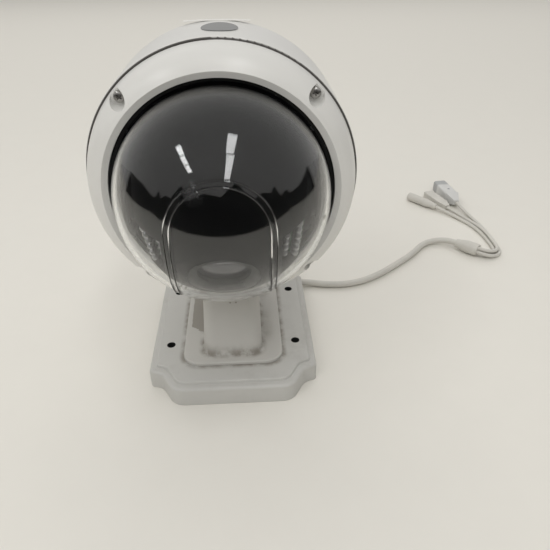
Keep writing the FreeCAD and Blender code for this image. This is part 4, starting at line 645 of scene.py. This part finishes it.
def screws_on_circle_tree():
    """Screws on a circle about the dome's axis, realised and given their metal."""
    tree, start, end = geometry_tree("Screws on a circle", [
        ("Screw", "Object", None), ("Circle radius", "Float", 0.08), ("Count", "Int", 4),
        ("First angle", "Float", 0.78), ("Seat", "Vector", None), ("Metal", "Material", None)])
    circle = add(tree, "GeometryNodeMeshCircle", {"Vertices": start.outputs["Count"],
                                                  "Radius": start.outputs["Circle radius"]})
    turn = add(tree, "ShaderNodeCombineXYZ", {2: start.outputs["First angle"]})
    spun = add(tree, "GeometryNodeTransform", {"Geometry": circle.outputs[0], "Rotation": turn.outputs[0]})
    screw = add(tree, "GeometryNodeObjectInfo", {"Object": start.outputs["Screw"]})
    number = add(tree, "GeometryNodeInputIndex")
    twist = add(tree, "ShaderNodeCombineXYZ", {2: maths(tree, "MULTIPLY", number.outputs[0], 0.9)})
    placed = add(tree, "GeometryNodeInstanceOnPoints",
                 {"Points": spun.outputs[0], "Instance": screw.outputs["Geometry"],
                  "Rotation": twist.outputs[0]})
    real = add(tree, "GeometryNodeRealizeInstances", {0: placed.outputs[0]})
    upright = add(tree, "GeometryNodeTransform",
                  {"Geometry": real.outputs[0], "Rotation": (math.pi / 2, 0, 0),
                   "Translation": start.outputs["Seat"]})
    metalled = add(tree, "GeometryNodeSetMaterial",
                   {"Geometry": upright.outputs[0], "Material": start.outputs["Metal"]})
    tree.links.new(metalled.outputs[0], end.inputs[0])
    return tree


POCKET_FLOOR, SCREW_CIRCLE = 7.4 * MM, 84.6 * MM
SCREW_HEAD, SCREW_SHANK = (3.6 * MM, 2.6 * MM), (1.8 * MM, 14.5 * MM)
steel_skin = make_steel_skin()
screw_steel = metal("screw steel", (0.52, 0.51, 0.49, 1), 0.2)
ring_screw = pan_head_screw("ring_screw_pattern", *SCREW_HEAD, *SCREW_SHANK)
ring_screws = grow("ring_screw_set", screws_on_circle_tree(), {
    "Screw": ring_screw, "Circle radius": SCREW_CIRCLE, "Count": 4, "First angle": math.pi / 4,
    "Seat": (0, SEAM_Y - POCKET_FLOOR, AXIS_Z), "Metal": screw_steel})
settle(ring_screws, "base", "steel", "ring_screws")
bpy.data.objects.remove(ring_screw)
dress_nodes(screw_steel, "arm_screws", "chassis_screws", "turntable_screws", "bearing_outer_race",
            "bearing_inner_race", "bearing_balls", "tilt_trunnions", "guide_rods")


# ------------------------ badge and label
# A round grey badge under clear resin and a strip of white film with lifting ends, both plain,
# stuck on top of the housing.
dress_nodes(painted("badge resin", {"Coat Weight": 0.4}, Paint=(0.13, 0.135, 0.135, 1), Clouding=0.25,
                    Gloss=0.3, Peel=0.05), "blank_badge")
dress_nodes(painted("label film", Paint=(0.78, 0.77, 0.73, 1), Clouding=0.06, Gloss=0.3, Peel=0.08),
            "blank_label")


# ------------------------ chassis, motors and boards inside
# Pressed aluminium sheet carries the bearing, a can-shaped stepper turns the dome through gears, and
# lacquered boards sit on brass posts. The yokes are black castings, and the large gear is nylon.
dress_nodes(metal("sheet aluminium", (0.55, 0.56, 0.57, 1), 0.35), "chassis_plate")
dress_nodes(metal("black anodised", (0.012, 0.012, 0.013, 1), 0.45), "yoke_left", "yoke_right",
            "tilt_motor_bracket")
dress_nodes(metal("motor steel", (0.20, 0.20, 0.205, 1), 0.35), "pan_motor", "tilt_motor")
dress_nodes(metal("turned brass", (0.62, 0.46, 0.20, 1), 0.25), "board_standoffs", "yoke_bushes",
            "pan_pinion", "tilt_motor_pulley")
dress_nodes(painted("board lacquer", Paint=(0.012, 0.075, 0.03, 1), Dirt_colour=(0.35, 0.3, 0.16, 1),
                    Clouding=0.2, Gloss=0.3, Peel=0.2, Specks=0.8),
            "main_board", "sensor_board", "led_boards")
dress_nodes(painted("white nylon", Paint=(0.66, 0.65, 0.6, 1), Clouding=0.05, Gloss=0.45, Peel=0.1),
            "pan_gear")


# ------------------------ turntable, liner, yokes' caps and head
# Moulded black plastic. The head's two shells meet in a fine line, and the liner hides the works
# beside the lens. The belt is moulded rubber.
dress_nodes(painted("black plastic", {"Specular IOR Level": 0.15}, Paint=(0.003, 0.003, 0.0035, 1),
                    Dirt_colour=(0.03, 0.03, 0.03, 1), Clouding=0.3, Gloss=0.5, Peel=0.04, Specks=0.15),
            "slip_ring_stator", "slip_ring_rotor", "bubble_clamp_ring", "dome_liner", "yoke_caps",
            "head_front_shell", "head_rear_shell", "zoom_carriage", "focus_carriage", "pan_turntable",
            "lens_barrel", "tilt_pulley")
dress_nodes(painted("belt rubber", Paint=(0.014, 0.014, 0.014, 1), Clouding=0.3, Gloss=0.65, Peel=0.5),
            "tilt_belt")


# ------------------------ lens
# The lens is ground and coated glass, held in a dark moulded bezel at the front of its barrel.
# The infra-red filter behind it is a thin slip of blue-green glass.
def clear(name, tint, index, marks=None):
    """Glass or clear plastic with faint smudges, and rougher where marks says."""
    material, tree, shader = new_material(name)
    where = object_place(tree)
    rough = maths(tree, "MULTIPLY", ramp(tree, noise_of(tree, where, 45.0, 4.0, 0.6), 0.45, 0.9), 0.04)
    if marks:
        rough = maths(tree, "ADD", rough, marks(tree, where))
    tree.links.new(rough, shader.inputs["Roughness"])
    shader.inputs["Base Color"].default_value = tint
    shader.inputs["Transmission Weight"].default_value = 1.0
    shader.inputs["IOR"].default_value = index
    return material


dress_nodes(clear("lens glass", (0.42, 0.40, 0.46, 1), 1.6), "objective_glass")
dress_nodes(clear("filter glass", (0.4, 0.75, 0.75, 1), 1.5), "ir_cut_filter")
dress_nodes(painted("bezel plastic", {"Specular IOR Level": 0.3}, Paint=(0.010, 0.0105, 0.011, 1),
                    Clouding=0.05, Gloss=0.25, Peel=0.02), "lens_bezel")


# ------------------------ infra-red lamps
# Five-millimetre lamps of clear cast resin, in two columns of six on each side of the lens.
# Each is soldered to a small board in the head.
HEAD_Y, LENS_TILT = SEAM_Y - 21.3 * MM, math.radians(30)
LAMP_SEAT, LAMP_PITCH, COLUMN_GAP, COLUMN_SIDE = 31.6 * MM, 7.2 * MM, 6.6 * MM, 41.9 * MM
LAMP_RADIUS, LAMP_BODY, LAMP_FOOT, LAMP_FOOT_RADIUS = 2.5 * MM, 4 * MM, 0.8 * MM, 2.9 * MM


def lamps_tree():
    """Two columns of lamps at each side of the head, realised and given their resin."""
    tree, start, end = geometry_tree("Lamp columns", [
        ("Lamp", "Object", None), ("Pitch", "Float", 0.0072), ("Rows", "Int", 6),
        ("Column gap", "Float", 0.0066), ("Side", "Float", 0.0419), ("Seat", "Float", 0.03),
        ("Resin", "Material", None)])
    spaces = maths(tree, "SUBTRACT", start.outputs["Rows"], 1.0)
    tall = maths(tree, "MULTIPLY", start.outputs["Pitch"], spaces)
    grid = add(tree, "GeometryNodeMeshGrid", {"Size X": start.outputs["Column gap"], "Size Y": tall,
                                              "Vertices X": 2, "Vertices Y": start.outputs["Rows"]})
    lamp = add(tree, "GeometryNodeObjectInfo", {"Object": start.outputs["Lamp"]})
    both = add(tree, "GeometryNodeJoinGeometry")
    for side in (1.0, -1.0):
        across = maths(tree, "MULTIPLY", start.outputs["Side"], side)
        place = add(tree, "ShaderNodeCombineXYZ", {0: across, 2: start.outputs["Seat"]})
        moved = add(tree, "GeometryNodeTransform",
                    {"Geometry": grid.outputs[0], "Translation": place.outputs[0]})
        tree.links.new(moved.outputs[0], both.inputs[0])
    placed = add(tree, "GeometryNodeInstanceOnPoints",
                 {"Points": both.outputs[0], "Instance": lamp.outputs["Geometry"]})
    real = add(tree, "GeometryNodeRealizeInstances", {0: placed.outputs[0]})
    aimed = add(tree, "GeometryNodeTransform", {"Geometry": real.outputs[0],
                                                "Rotation": (math.pi / 2 + LENS_TILT, 0, 0),
                                                "Translation": (0, HEAD_Y, AXIS_Z)})
    cast = add(tree, "GeometryNodeSetMaterial",
               {"Geometry": aimed.outputs[0], "Material": start.outputs["Resin"]})
    tree.links.new(cast.outputs[0], end.inputs[0])
    return tree


lamp_resin = painted("lamp resin", {"Coat Weight": 1.0, "Metallic": 0.5}, Paint=(0.30, 0.30, 0.31, 1),
                     Clouding=0.3, Gloss=0.08, Peel=0.02)
lamp_profile = [(0, 0), (LAMP_FOOT_RADIUS, 0), (LAMP_FOOT_RADIUS, LAMP_FOOT), (LAMP_RADIUS, LAMP_FOOT)]
lamp_profile += [(LAMP_RADIUS * math.cos(angle), LAMP_BODY + LAMP_RADIUS * math.sin(angle))
                 for angle in map(math.radians, (0, 22.5, 45, 67.5))] + [(0, LAMP_BODY + LAMP_RADIUS)]
lamp = show("lamp_pattern", turned_mesh("lamp_pattern", lamp_profile, 20))
lamps = grow("lamp_set", lamps_tree(), {
    "Lamp": lamp, "Pitch": LAMP_PITCH, "Rows": 6, "Column gap": COLUMN_GAP, "Side": COLUMN_SIDE,
    "Seat": LAMP_SEAT, "Resin": lamp_resin})
settle(lamps, "head", "clear_lamps", "ir_leds")
bpy.data.objects.remove(lamp)


# ------------------------ bubble
# Clear moulded acrylic, a half ball on a short skirt with a flange. A window in front of the lens
# stands up a little, between two fine beads whose pale, half-clear satin finish is a painted highlight.
# One shoulder is scuffed.
BALL_RADIUS, BALL_WALL = 70.1 * MM, 2.5 * MM
ARCH_OUTER, ARCH_INNER, ARCH_UP = 31.6 * MM, 28.4 * MM, 3.5 * MM
ARCH_RISE, BEAD_RISE, BEAD_HALF = 0.35 * MM, 0.6 * MM, 0.55 * MM
STEPS_OVER, STEPS_DOWN, STEPS_IN, STEPS_OUT, STEPS_INSIDE = 72, 36, 16, 22, 26
SKIRT_MIDDLE, FLANGE_FRONT, FLANGE_BACK, FLANGE_RADIUS = -14 * MM, -25.3 * MM, -27.8 * MM, 76 * MM
SCUFF_SPOT = Vector((-14.4, -125.4, 194.7)) * MM


def arch_curve(reach):
    """Points (across, up) along an arch that follows the window's outline at a given reach."""
    blend = min(max((reach - ARCH_OUTER) / (BALL_RADIUS - ARCH_OUTER), 0), 1)
    middle = ARCH_UP * (1 - blend * blend)
    low = -math.sqrt(max(BALL_RADIUS ** 2 - reach ** 2, 0))
    down = [(reach, low + (middle - low) * step / STEPS_DOWN) for step in range(STEPS_DOWN)]
    turns = [math.pi * step / STEPS_OVER for step in range(STEPS_OVER + 1)]
    over = [(reach * math.cos(turn), middle + reach * math.sin(turn)) for turn in turns]
    return down + over + [(-across, up) for across, up in reversed(down)]


def arch_rise(reach):
    """Height of the raised window, with a fine bead along its outer line and along its inner line."""
    bead = max(1 - abs(min(abs(reach - line) for line in (ARCH_OUTER, ARCH_INNER))) / BEAD_HALF, 0)
    level = ARCH_RISE if reach < ARCH_OUTER else 0
    return level + BEAD_RISE * math.sin(math.pi / 2 * bead)


def make_bubble():
    """Closed mesh, built along z and stood up in the ring: the outside, the skirt, then the inside."""
    work = bmesh.new()
    across_bead = [BEAD_HALF * share for share in (-1, -0.6, -0.25, 0, 0.25, 0.6, 1)]
    reaches = [(ARCH_INNER - BEAD_HALF) * step / STEPS_IN for step in range(STEPS_IN)]
    reaches += [ARCH_INNER + offset for offset in across_bead]
    reaches += [ARCH_OUTER + offset for offset in across_bead]
    clear_of_bead = ARCH_OUTER + BEAD_HALF
    reaches += [clear_of_bead + (BALL_RADIUS - clear_of_bead) * math.sin(math.pi / 2 * step / STEPS_OUT)
                for step in range(1, STEPS_OUT + 1)]
    outer = []
    for reach in reaches:
        row = []
        for across, up in arch_curve(reach):
            flat = min(math.hypot(across, up), BALL_RADIUS)
            forward = math.sqrt(max(BALL_RADIUS ** 2 - flat ** 2, 0))
            grown = (BALL_RADIUS + arch_rise(reach)) / BALL_RADIUS
            row.append(work.verts.new((across * grown, up * grown, forward * grown)))
        outer.append(row)
    for near, far, reach, following in zip(outer, outer[1:], reaches, reaches[1:]):
        middle = (reach + following) / 2
        on_bead = int(min(abs(middle - line) for line in (ARCH_OUTER, ARCH_INNER)) < BEAD_HALF)
        for k in range(len(near) - 1):
            work.faces.new((near[k], far[k], far[k + 1], near[k + 1])).material_index = on_bead
    bmesh.ops.remove_doubles(work, verts=work.verts, dist=0.02 * MM)
    bmesh.ops.dissolve_degenerate(work, edges=work.edges, dist=0.01 * MM)
    rim = [edge for edge in work.edges if edge.is_boundary]
    # the skirt runs straight back from the rim, turns out into the flange, and comes forward inside
    inner_radius = BALL_RADIUS - BALL_WALL
    profile = [(BALL_RADIUS, SKIRT_MIDDLE), (BALL_RADIUS, FLANGE_FRONT), (FLANGE_RADIUS, FLANGE_FRONT),
               (FLANGE_RADIUS, FLANGE_BACK), (inner_radius, FLANGE_BACK), (inner_radius, 0)]
    rises = [math.pi / 2 * step / STEPS_INSIDE for step in range(1, STEPS_INSIDE)]
    profile += [(inner_radius * math.cos(rise), inner_radius * math.sin(rise)) for rise in rises]
    for radius, height in profile:
        made = bmesh.ops.extrude_edge_only(work, edges=rim)["geom"]
        for vert in [item for item in made if isinstance(item, bmesh.types.BMVert)]:
            heading = math.atan2(vert.co.y, vert.co.x)
            vert.co = Vector((radius * math.cos(heading), radius * math.sin(heading), height))
        rim = [item for item in made if isinstance(item, bmesh.types.BMEdge) and item.is_boundary]
    pole = work.verts.new((0, 0, inner_radius))
    for edge in rim:
        work.faces.new((edge.verts[0], edge.verts[1], pole))
    bmesh.ops.recalc_face_normals(work, faces=work.faces)
    work.transform(Matrix.Translation((0, HEAD_Y, AXIS_Z)) @ Matrix.Rotation(math.pi / 2, 4, "X"))
    return show("bubble", built(work, "bubble"))


def scuff_marks(tree, where):
    """Extra roughness of the scuffed shoulder."""
    scratches = ramp(tree, noise_of(tree, where, 260.0, 4.0, 0.7), 0.48, 0.6)
    return product(tree, near_spot(tree, where, SCUFF_SPOT, 3 * MM, 11 * MM), scratches, 0.3)


bubble = settle(make_bubble(), "turntable", "clear_bubble", "dome_bubble", crease=24.0)
dress(bubble, clear("clear acrylic", (0.97, 0.98, 0.98, 1), 1.49, scuff_marks))
# the beads get a pale, half-clear satin finish: a painted highlight along the window's two lines
bead_highlight, tree, shader = new_material("bead highlight")
edge_grain = noise_of(tree, object_place(tree), 300.0, 3.0, 0.6)
edge_rough = maths(tree, "ADD", 0.22, maths(tree, "MULTIPLY", edge_grain, 0.2))
tree.links.new(edge_rough, shader.inputs["Roughness"])
shader.inputs["Base Color"].default_value = (0.72, 0.73, 0.72, 1)
shader.inputs["Transmission Weight"].default_value = 0.5
shader.inputs["IOR"].default_value = 1.49
bubble.data.materials.append(bead_highlight)


# ------------------------ cable
# One round jacketed cable, soft warm-white vinyl, which lies loosely on the table. It ends in a
# moulded splitter, from which three thinner leads go to a power socket, a flat connector and a
# network socket.
CABLE_WIDTH, LEAD_WIDTH = 6.5 * MM, 4 * MM
main_route = [(56.5, 71.0, 5.2), (73.5, 70.4, 4.4), (91.0, 66.6, 3.3), (111.0, 65.4, 3.3), (131.0, 70.4, 3.3),
              (152.0, 83.0, 3.3), (173.0, 100.5, 3.3), (192.0, 117.0, 3.3), (200.3, 126.2, 3.3),
              (207.6, 135.2, 3.3), (215.0, 141.9, 3.4), (222.1, 145.2, 3.9), (229.8, 146.2, 4.7),
              (237.5, 144.7, 5.6), (244.3, 140.9, 6.5), (249.6, 135.2, 7.1)]
lead_routes = {
    "power_leg": [(264.3, 123.7, 6.1), (268.5, 118.9, 6.0), (274.9, 116.5, 4.6), (281.6, 117.3, 2.9),
                  (287.2, 121.0, 2.1), (290.5, 126.9, 2.1), (291.0, 138.5, 2.1), (291.0, 155.0, 2.1),
                  (289.0, 172.0, 2.1), (283.5, 190.0, 2.1), (275.0, 206.0, 2.3), (265.5, 219.5, 3.6),
                  (256.0, 231.0, 5.3)],
    "io_leg": [(263.7, 121.1, 9.8), (268.4, 115.8, 9.7), (275.5, 113.1, 8.5), (282.9, 113.9, 7.0),
               (289.2, 118.1, 5.9), (292.9, 124.7, 5.7), (293.4, 138.0, 5.7), (293.7, 154.0, 5.7),
               (292.9, 172.0, 4.6), (289.0, 191.0, 2.4), (283.0, 207.5, 2.2), (276.5, 219.5, 3.2),
               (270.0, 229.5, 4.6)],
    "network_leg": [(262.8, 118.8, 6.1), (268.1, 112.8, 6.0), (276.0, 109.9, 4.6), (284.3, 110.8, 2.9),
                    (291.3, 115.5, 2.1), (295.4, 122.8, 2.1), (296.0, 137.0, 2.1), (296.5, 154.0, 2.1),
                    (296.8, 172.0, 2.1), (295.2, 190.0, 2.1), (291.5, 207.0, 2.7), (287.7, 221.5, 4.9),
                    (284.0, 237.0, 7.5)],
}
jacket = painted("cable jacket", Paint=(0.58, 0.565, 0.52, 1), Dirt_colour=(0.24, 0.22, 0.18, 1),
                 Clouding=0.12, Gloss=0.42, Peel=0.12, Specks=0.4)


def lay_cord(name, route, width, node):
    """Smooth round cord whose control points are the route's."""
    curve = bpy.data.curves.new(name, "CURVE")
    curve.dimensions = "3D"
    curve.bevel_depth = width / 2
    curve.bevel_resolution = 6
    curve.use_fill_caps = True
    spline = curve.splines.new("NURBS")
    spline.points.add(len(route) - 1)
    for point, spot in zip(spline.points, route):
        point.co = (*[value * MM for value in spot], 1)
    spline.order_u = 3
    spline.use_endpoint_u = True
    spline.resolution_u = 8
    curve.resolution_u = 8
    piece = show(name, curve)
    curve.materials.append(jacket)
    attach(piece, "base")
    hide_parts(node)
    return piece


main_cable = lay_cord("main_cable", main_route, CABLE_WIDTH, "main_cord")
leads = {name: lay_cord(name + "_lead", route, LEAD_WIDTH, name) for name, route in lead_routes.items()}
dress_nodes(jacket, "harness_cable")


# ------------------------ splitter and connectors
# Vinyl moulded round the cables' ends. The network socket is a harder, cooler plastic with a smoky
# end and one small dark dot.
DOT_SPOT = Vector((281.5, 264.0, 14.3)) * MM
SMOKY_FROM, SMOKY_TO = 276 * MM, 281 * MM
CONNECTOR_ROUND = 0.7 * MM

ends = {}
for name in ("splitter_boot", "power_socket", "io_connector", "network_socket"):
    ends[name] = soft_edged_copy(name, lambda spot: CONNECTOR_ROUND, "white_connector", 30.0)
    dress(ends[name], jacket)
socket_plastic, tree, shader = new_material("socket plastic")
where = object_place(tree)
along = add(tree, "ShaderNodeSeparateXYZ", {0: where}).outputs[1]
smoky_end = ramp(tree, along, SMOKY_FROM, SMOKY_TO)
dark_dot = near_spot(tree, where, DOT_SPOT, 1.2 * MM, 2.0 * MM)
marks = maths(tree, "MAXIMUM", maths(tree, "MULTIPLY", smoky_end, 0.55), dark_dot)
wear(tree, shader, use_group(tree, paint_skin, Paint=(0.60, 0.60, 0.585, 1), Dirt=marks, Clouding=0.1,
                             Dirt_colour=(0.20, 0.21, 0.22, 1), Gloss=0.3, Peel=0.08, Specks=0.2))
dress(ends["network_socket"], socket_plastic)


# ------------------------ table, light and camera
# A pale table top, soft light from above, and two long ceiling lights that the bubble mirrors.
# The dark side of the room, in front of the table, shows only in mirror images and through glass.
TABLE_HALF = 4.0
FLAG_SIDE, FLAG_FRONT, FLAG_STEPS = 1.7, -0.62, 20
table_mesh = bpy.data.meshes.new("table")
table_mesh.from_pydata([(x * TABLE_HALF, y * TABLE_HALF, 0) for x, y in ((-1, -1), (1, -1), (1, 1), (-1, 1))],
                       [], [(0, 1, 2, 3)])
table = show("table", table_mesh)
dress(table, painted("table top", Paint=(0.74, 0.72, 0.665, 1), Clouding=0.02, Gloss=0.5, Peel=0.0))

flag_route = [(-FLAG_SIDE, 0.5), (-FLAG_SIDE, -0.2)]
flag_route += [(-FLAG_SIDE + 2 * FLAG_SIDE / FLAG_STEPS * step, FLAG_FRONT) for step in range(FLAG_STEPS + 1)]
flag_route += [(FLAG_SIDE, -0.2), (FLAG_SIDE, 0.5)]
# the top edge goes up and down, as furniture and doorways do
flag_tops = [0.42 + 0.13 * math.sin(2.3 * step) * math.cos(0.7 * step) for step in range(len(flag_route))]
flag_foot = [(*spot, 0.0) for spot in flag_route]
flag_head = [(*spot, top) for spot, top in zip(flag_route, flag_tops)]
flag_mesh = bpy.data.meshes.new("dark_room")
flag_mesh.from_pydata(flag_foot + flag_head, [], [
    (k, k + 1, len(flag_route) + k + 1, len(flag_route) + k) for k in range(len(flag_route) - 1)])
flag = show("dark_room", flag_mesh)
dress(flag, painted("room dark", Paint=(0.012, 0.012, 0.013, 1), Clouding=0.4, Gloss=0.8, Peel=0.0))
for kind in ("camera", "diffuse", "shadow", "volume_scatter"):
    setattr(flag, "visible_" + kind, False)

world = bpy.data.worlds.new("room")
bpy.context.scene.world = world
world.use_nodes = True
sky = world.node_tree.nodes["Background"]
WARM_WHITE = (1.0, 0.985, 0.96)
sky.inputs["Color"].default_value = (*WARM_WHITE, 1)
rays = add(world.node_tree, "ShaderNodeLightPath")
seen = maths(world.node_tree, "MAXIMUM", rays.outputs["Is Camera Ray"], rays.outputs["Is Glossy Ray"])
seen = maths(world.node_tree, "MAXIMUM", seen, rays.outputs["Is Transmission Ray"])
ROOM_LIGHT, ROOM_SEEN = 0.36, 0.14          # the room's light, and how much brighter it looks
glow = maths(world.node_tree, "ADD", ROOM_LIGHT, maths(world.node_tree, "MULTIPLY", seen, ROOM_SEEN))
world.node_tree.links.new(glow, sky.inputs["Strength"])


def area_light(name, place, aim, size, power, colour=(1, 1, 1)):
    lamp = bpy.data.lights.new(name, "AREA")
    lamp.shape = "RECTANGLE"
    lamp.size, lamp.size_y = size
    lamp.energy = power
    lamp.color = colour
    holder = show(name, lamp)
    holder.location = place
    holder.rotation_euler = (Vector(aim) - Vector(place)).to_track_quat("-Z", "Y").to_euler()
    return holder


def ceiling_tube(name, start, end, width, power):
    """A long lamp that hangs level under the ceiling, from one spot to another."""
    start, end = Vector(start), Vector(end)
    middle = (start + end) / 2
    lamp = area_light(name, middle, middle - Vector((0, 0, 1)), (width, (end - start).length), power)
    lamp.rotation_euler = (0, 0, math.atan2(end.y - start.y, end.x - start.x) - math.pi / 2)


for name, place, aim, size, power in (
        ("back_panel", (-0.1, 2.2, 1.7), (0, -0.4, 0.6), (4.0, 1.6), 22),
        ("ceiling_wash", (0, 0.8, 2.8), (0, 0.8, 0), (8.0, 8.0), 60),
        ("room_fill", (-0.7, -1.5, 1.6), (0, -0.05, 0.15), (2.0, 1.6), 11)):
    panel = area_light(name, place, aim, size, power, WARM_WHITE)
    for kind in ("camera", "glossy", "transmission"):
        setattr(panel, "visible_" + kind, False)
CEILING = 1.8
for number, (near, far) in enumerate(((-0.34, -0.72), (-0.76, -1.16), (-1.2, -1.6))):
    ceiling_tube("tube_left_%d" % number, (-1.2, near, CEILING), (-1.18, far, CEILING), 0.2, 2.2)
for number, (near, far, power) in enumerate(((-0.26, -0.9, 3), (-0.94, -2.2, 5.8))):
    ceiling_tube("tube_right_%d" % number, (0.33, near, CEILING), (0.3, far, CEILING), 0.24, power)

CAMERA_PLACE = Vector((0.01536, -0.39366, 0.31466))
FORWARD = Vector((0.04587, 0.83853, -0.54292))
RIGHTWARD = Vector((0.99834, -0.05751, -0.00447))
UPWARD = Vector((0.03497, 0.54181, 0.83977))
camera_data = bpy.data.cameras.new("camera")
camera_data.sensor_width = 36
camera_data.lens = 36.02
camera_data.clip_start = 0.01
camera = show("camera", camera_data)
camera.matrix_world = Matrix.Translation(CAMERA_PLACE) @ Matrix(
    (RIGHTWARD, UPWARD, -FORWARD)).transposed().to_4x4()
bpy.context.scene.camera = camera
bpy.context.scene.view_settings.view_transform = "Standard"
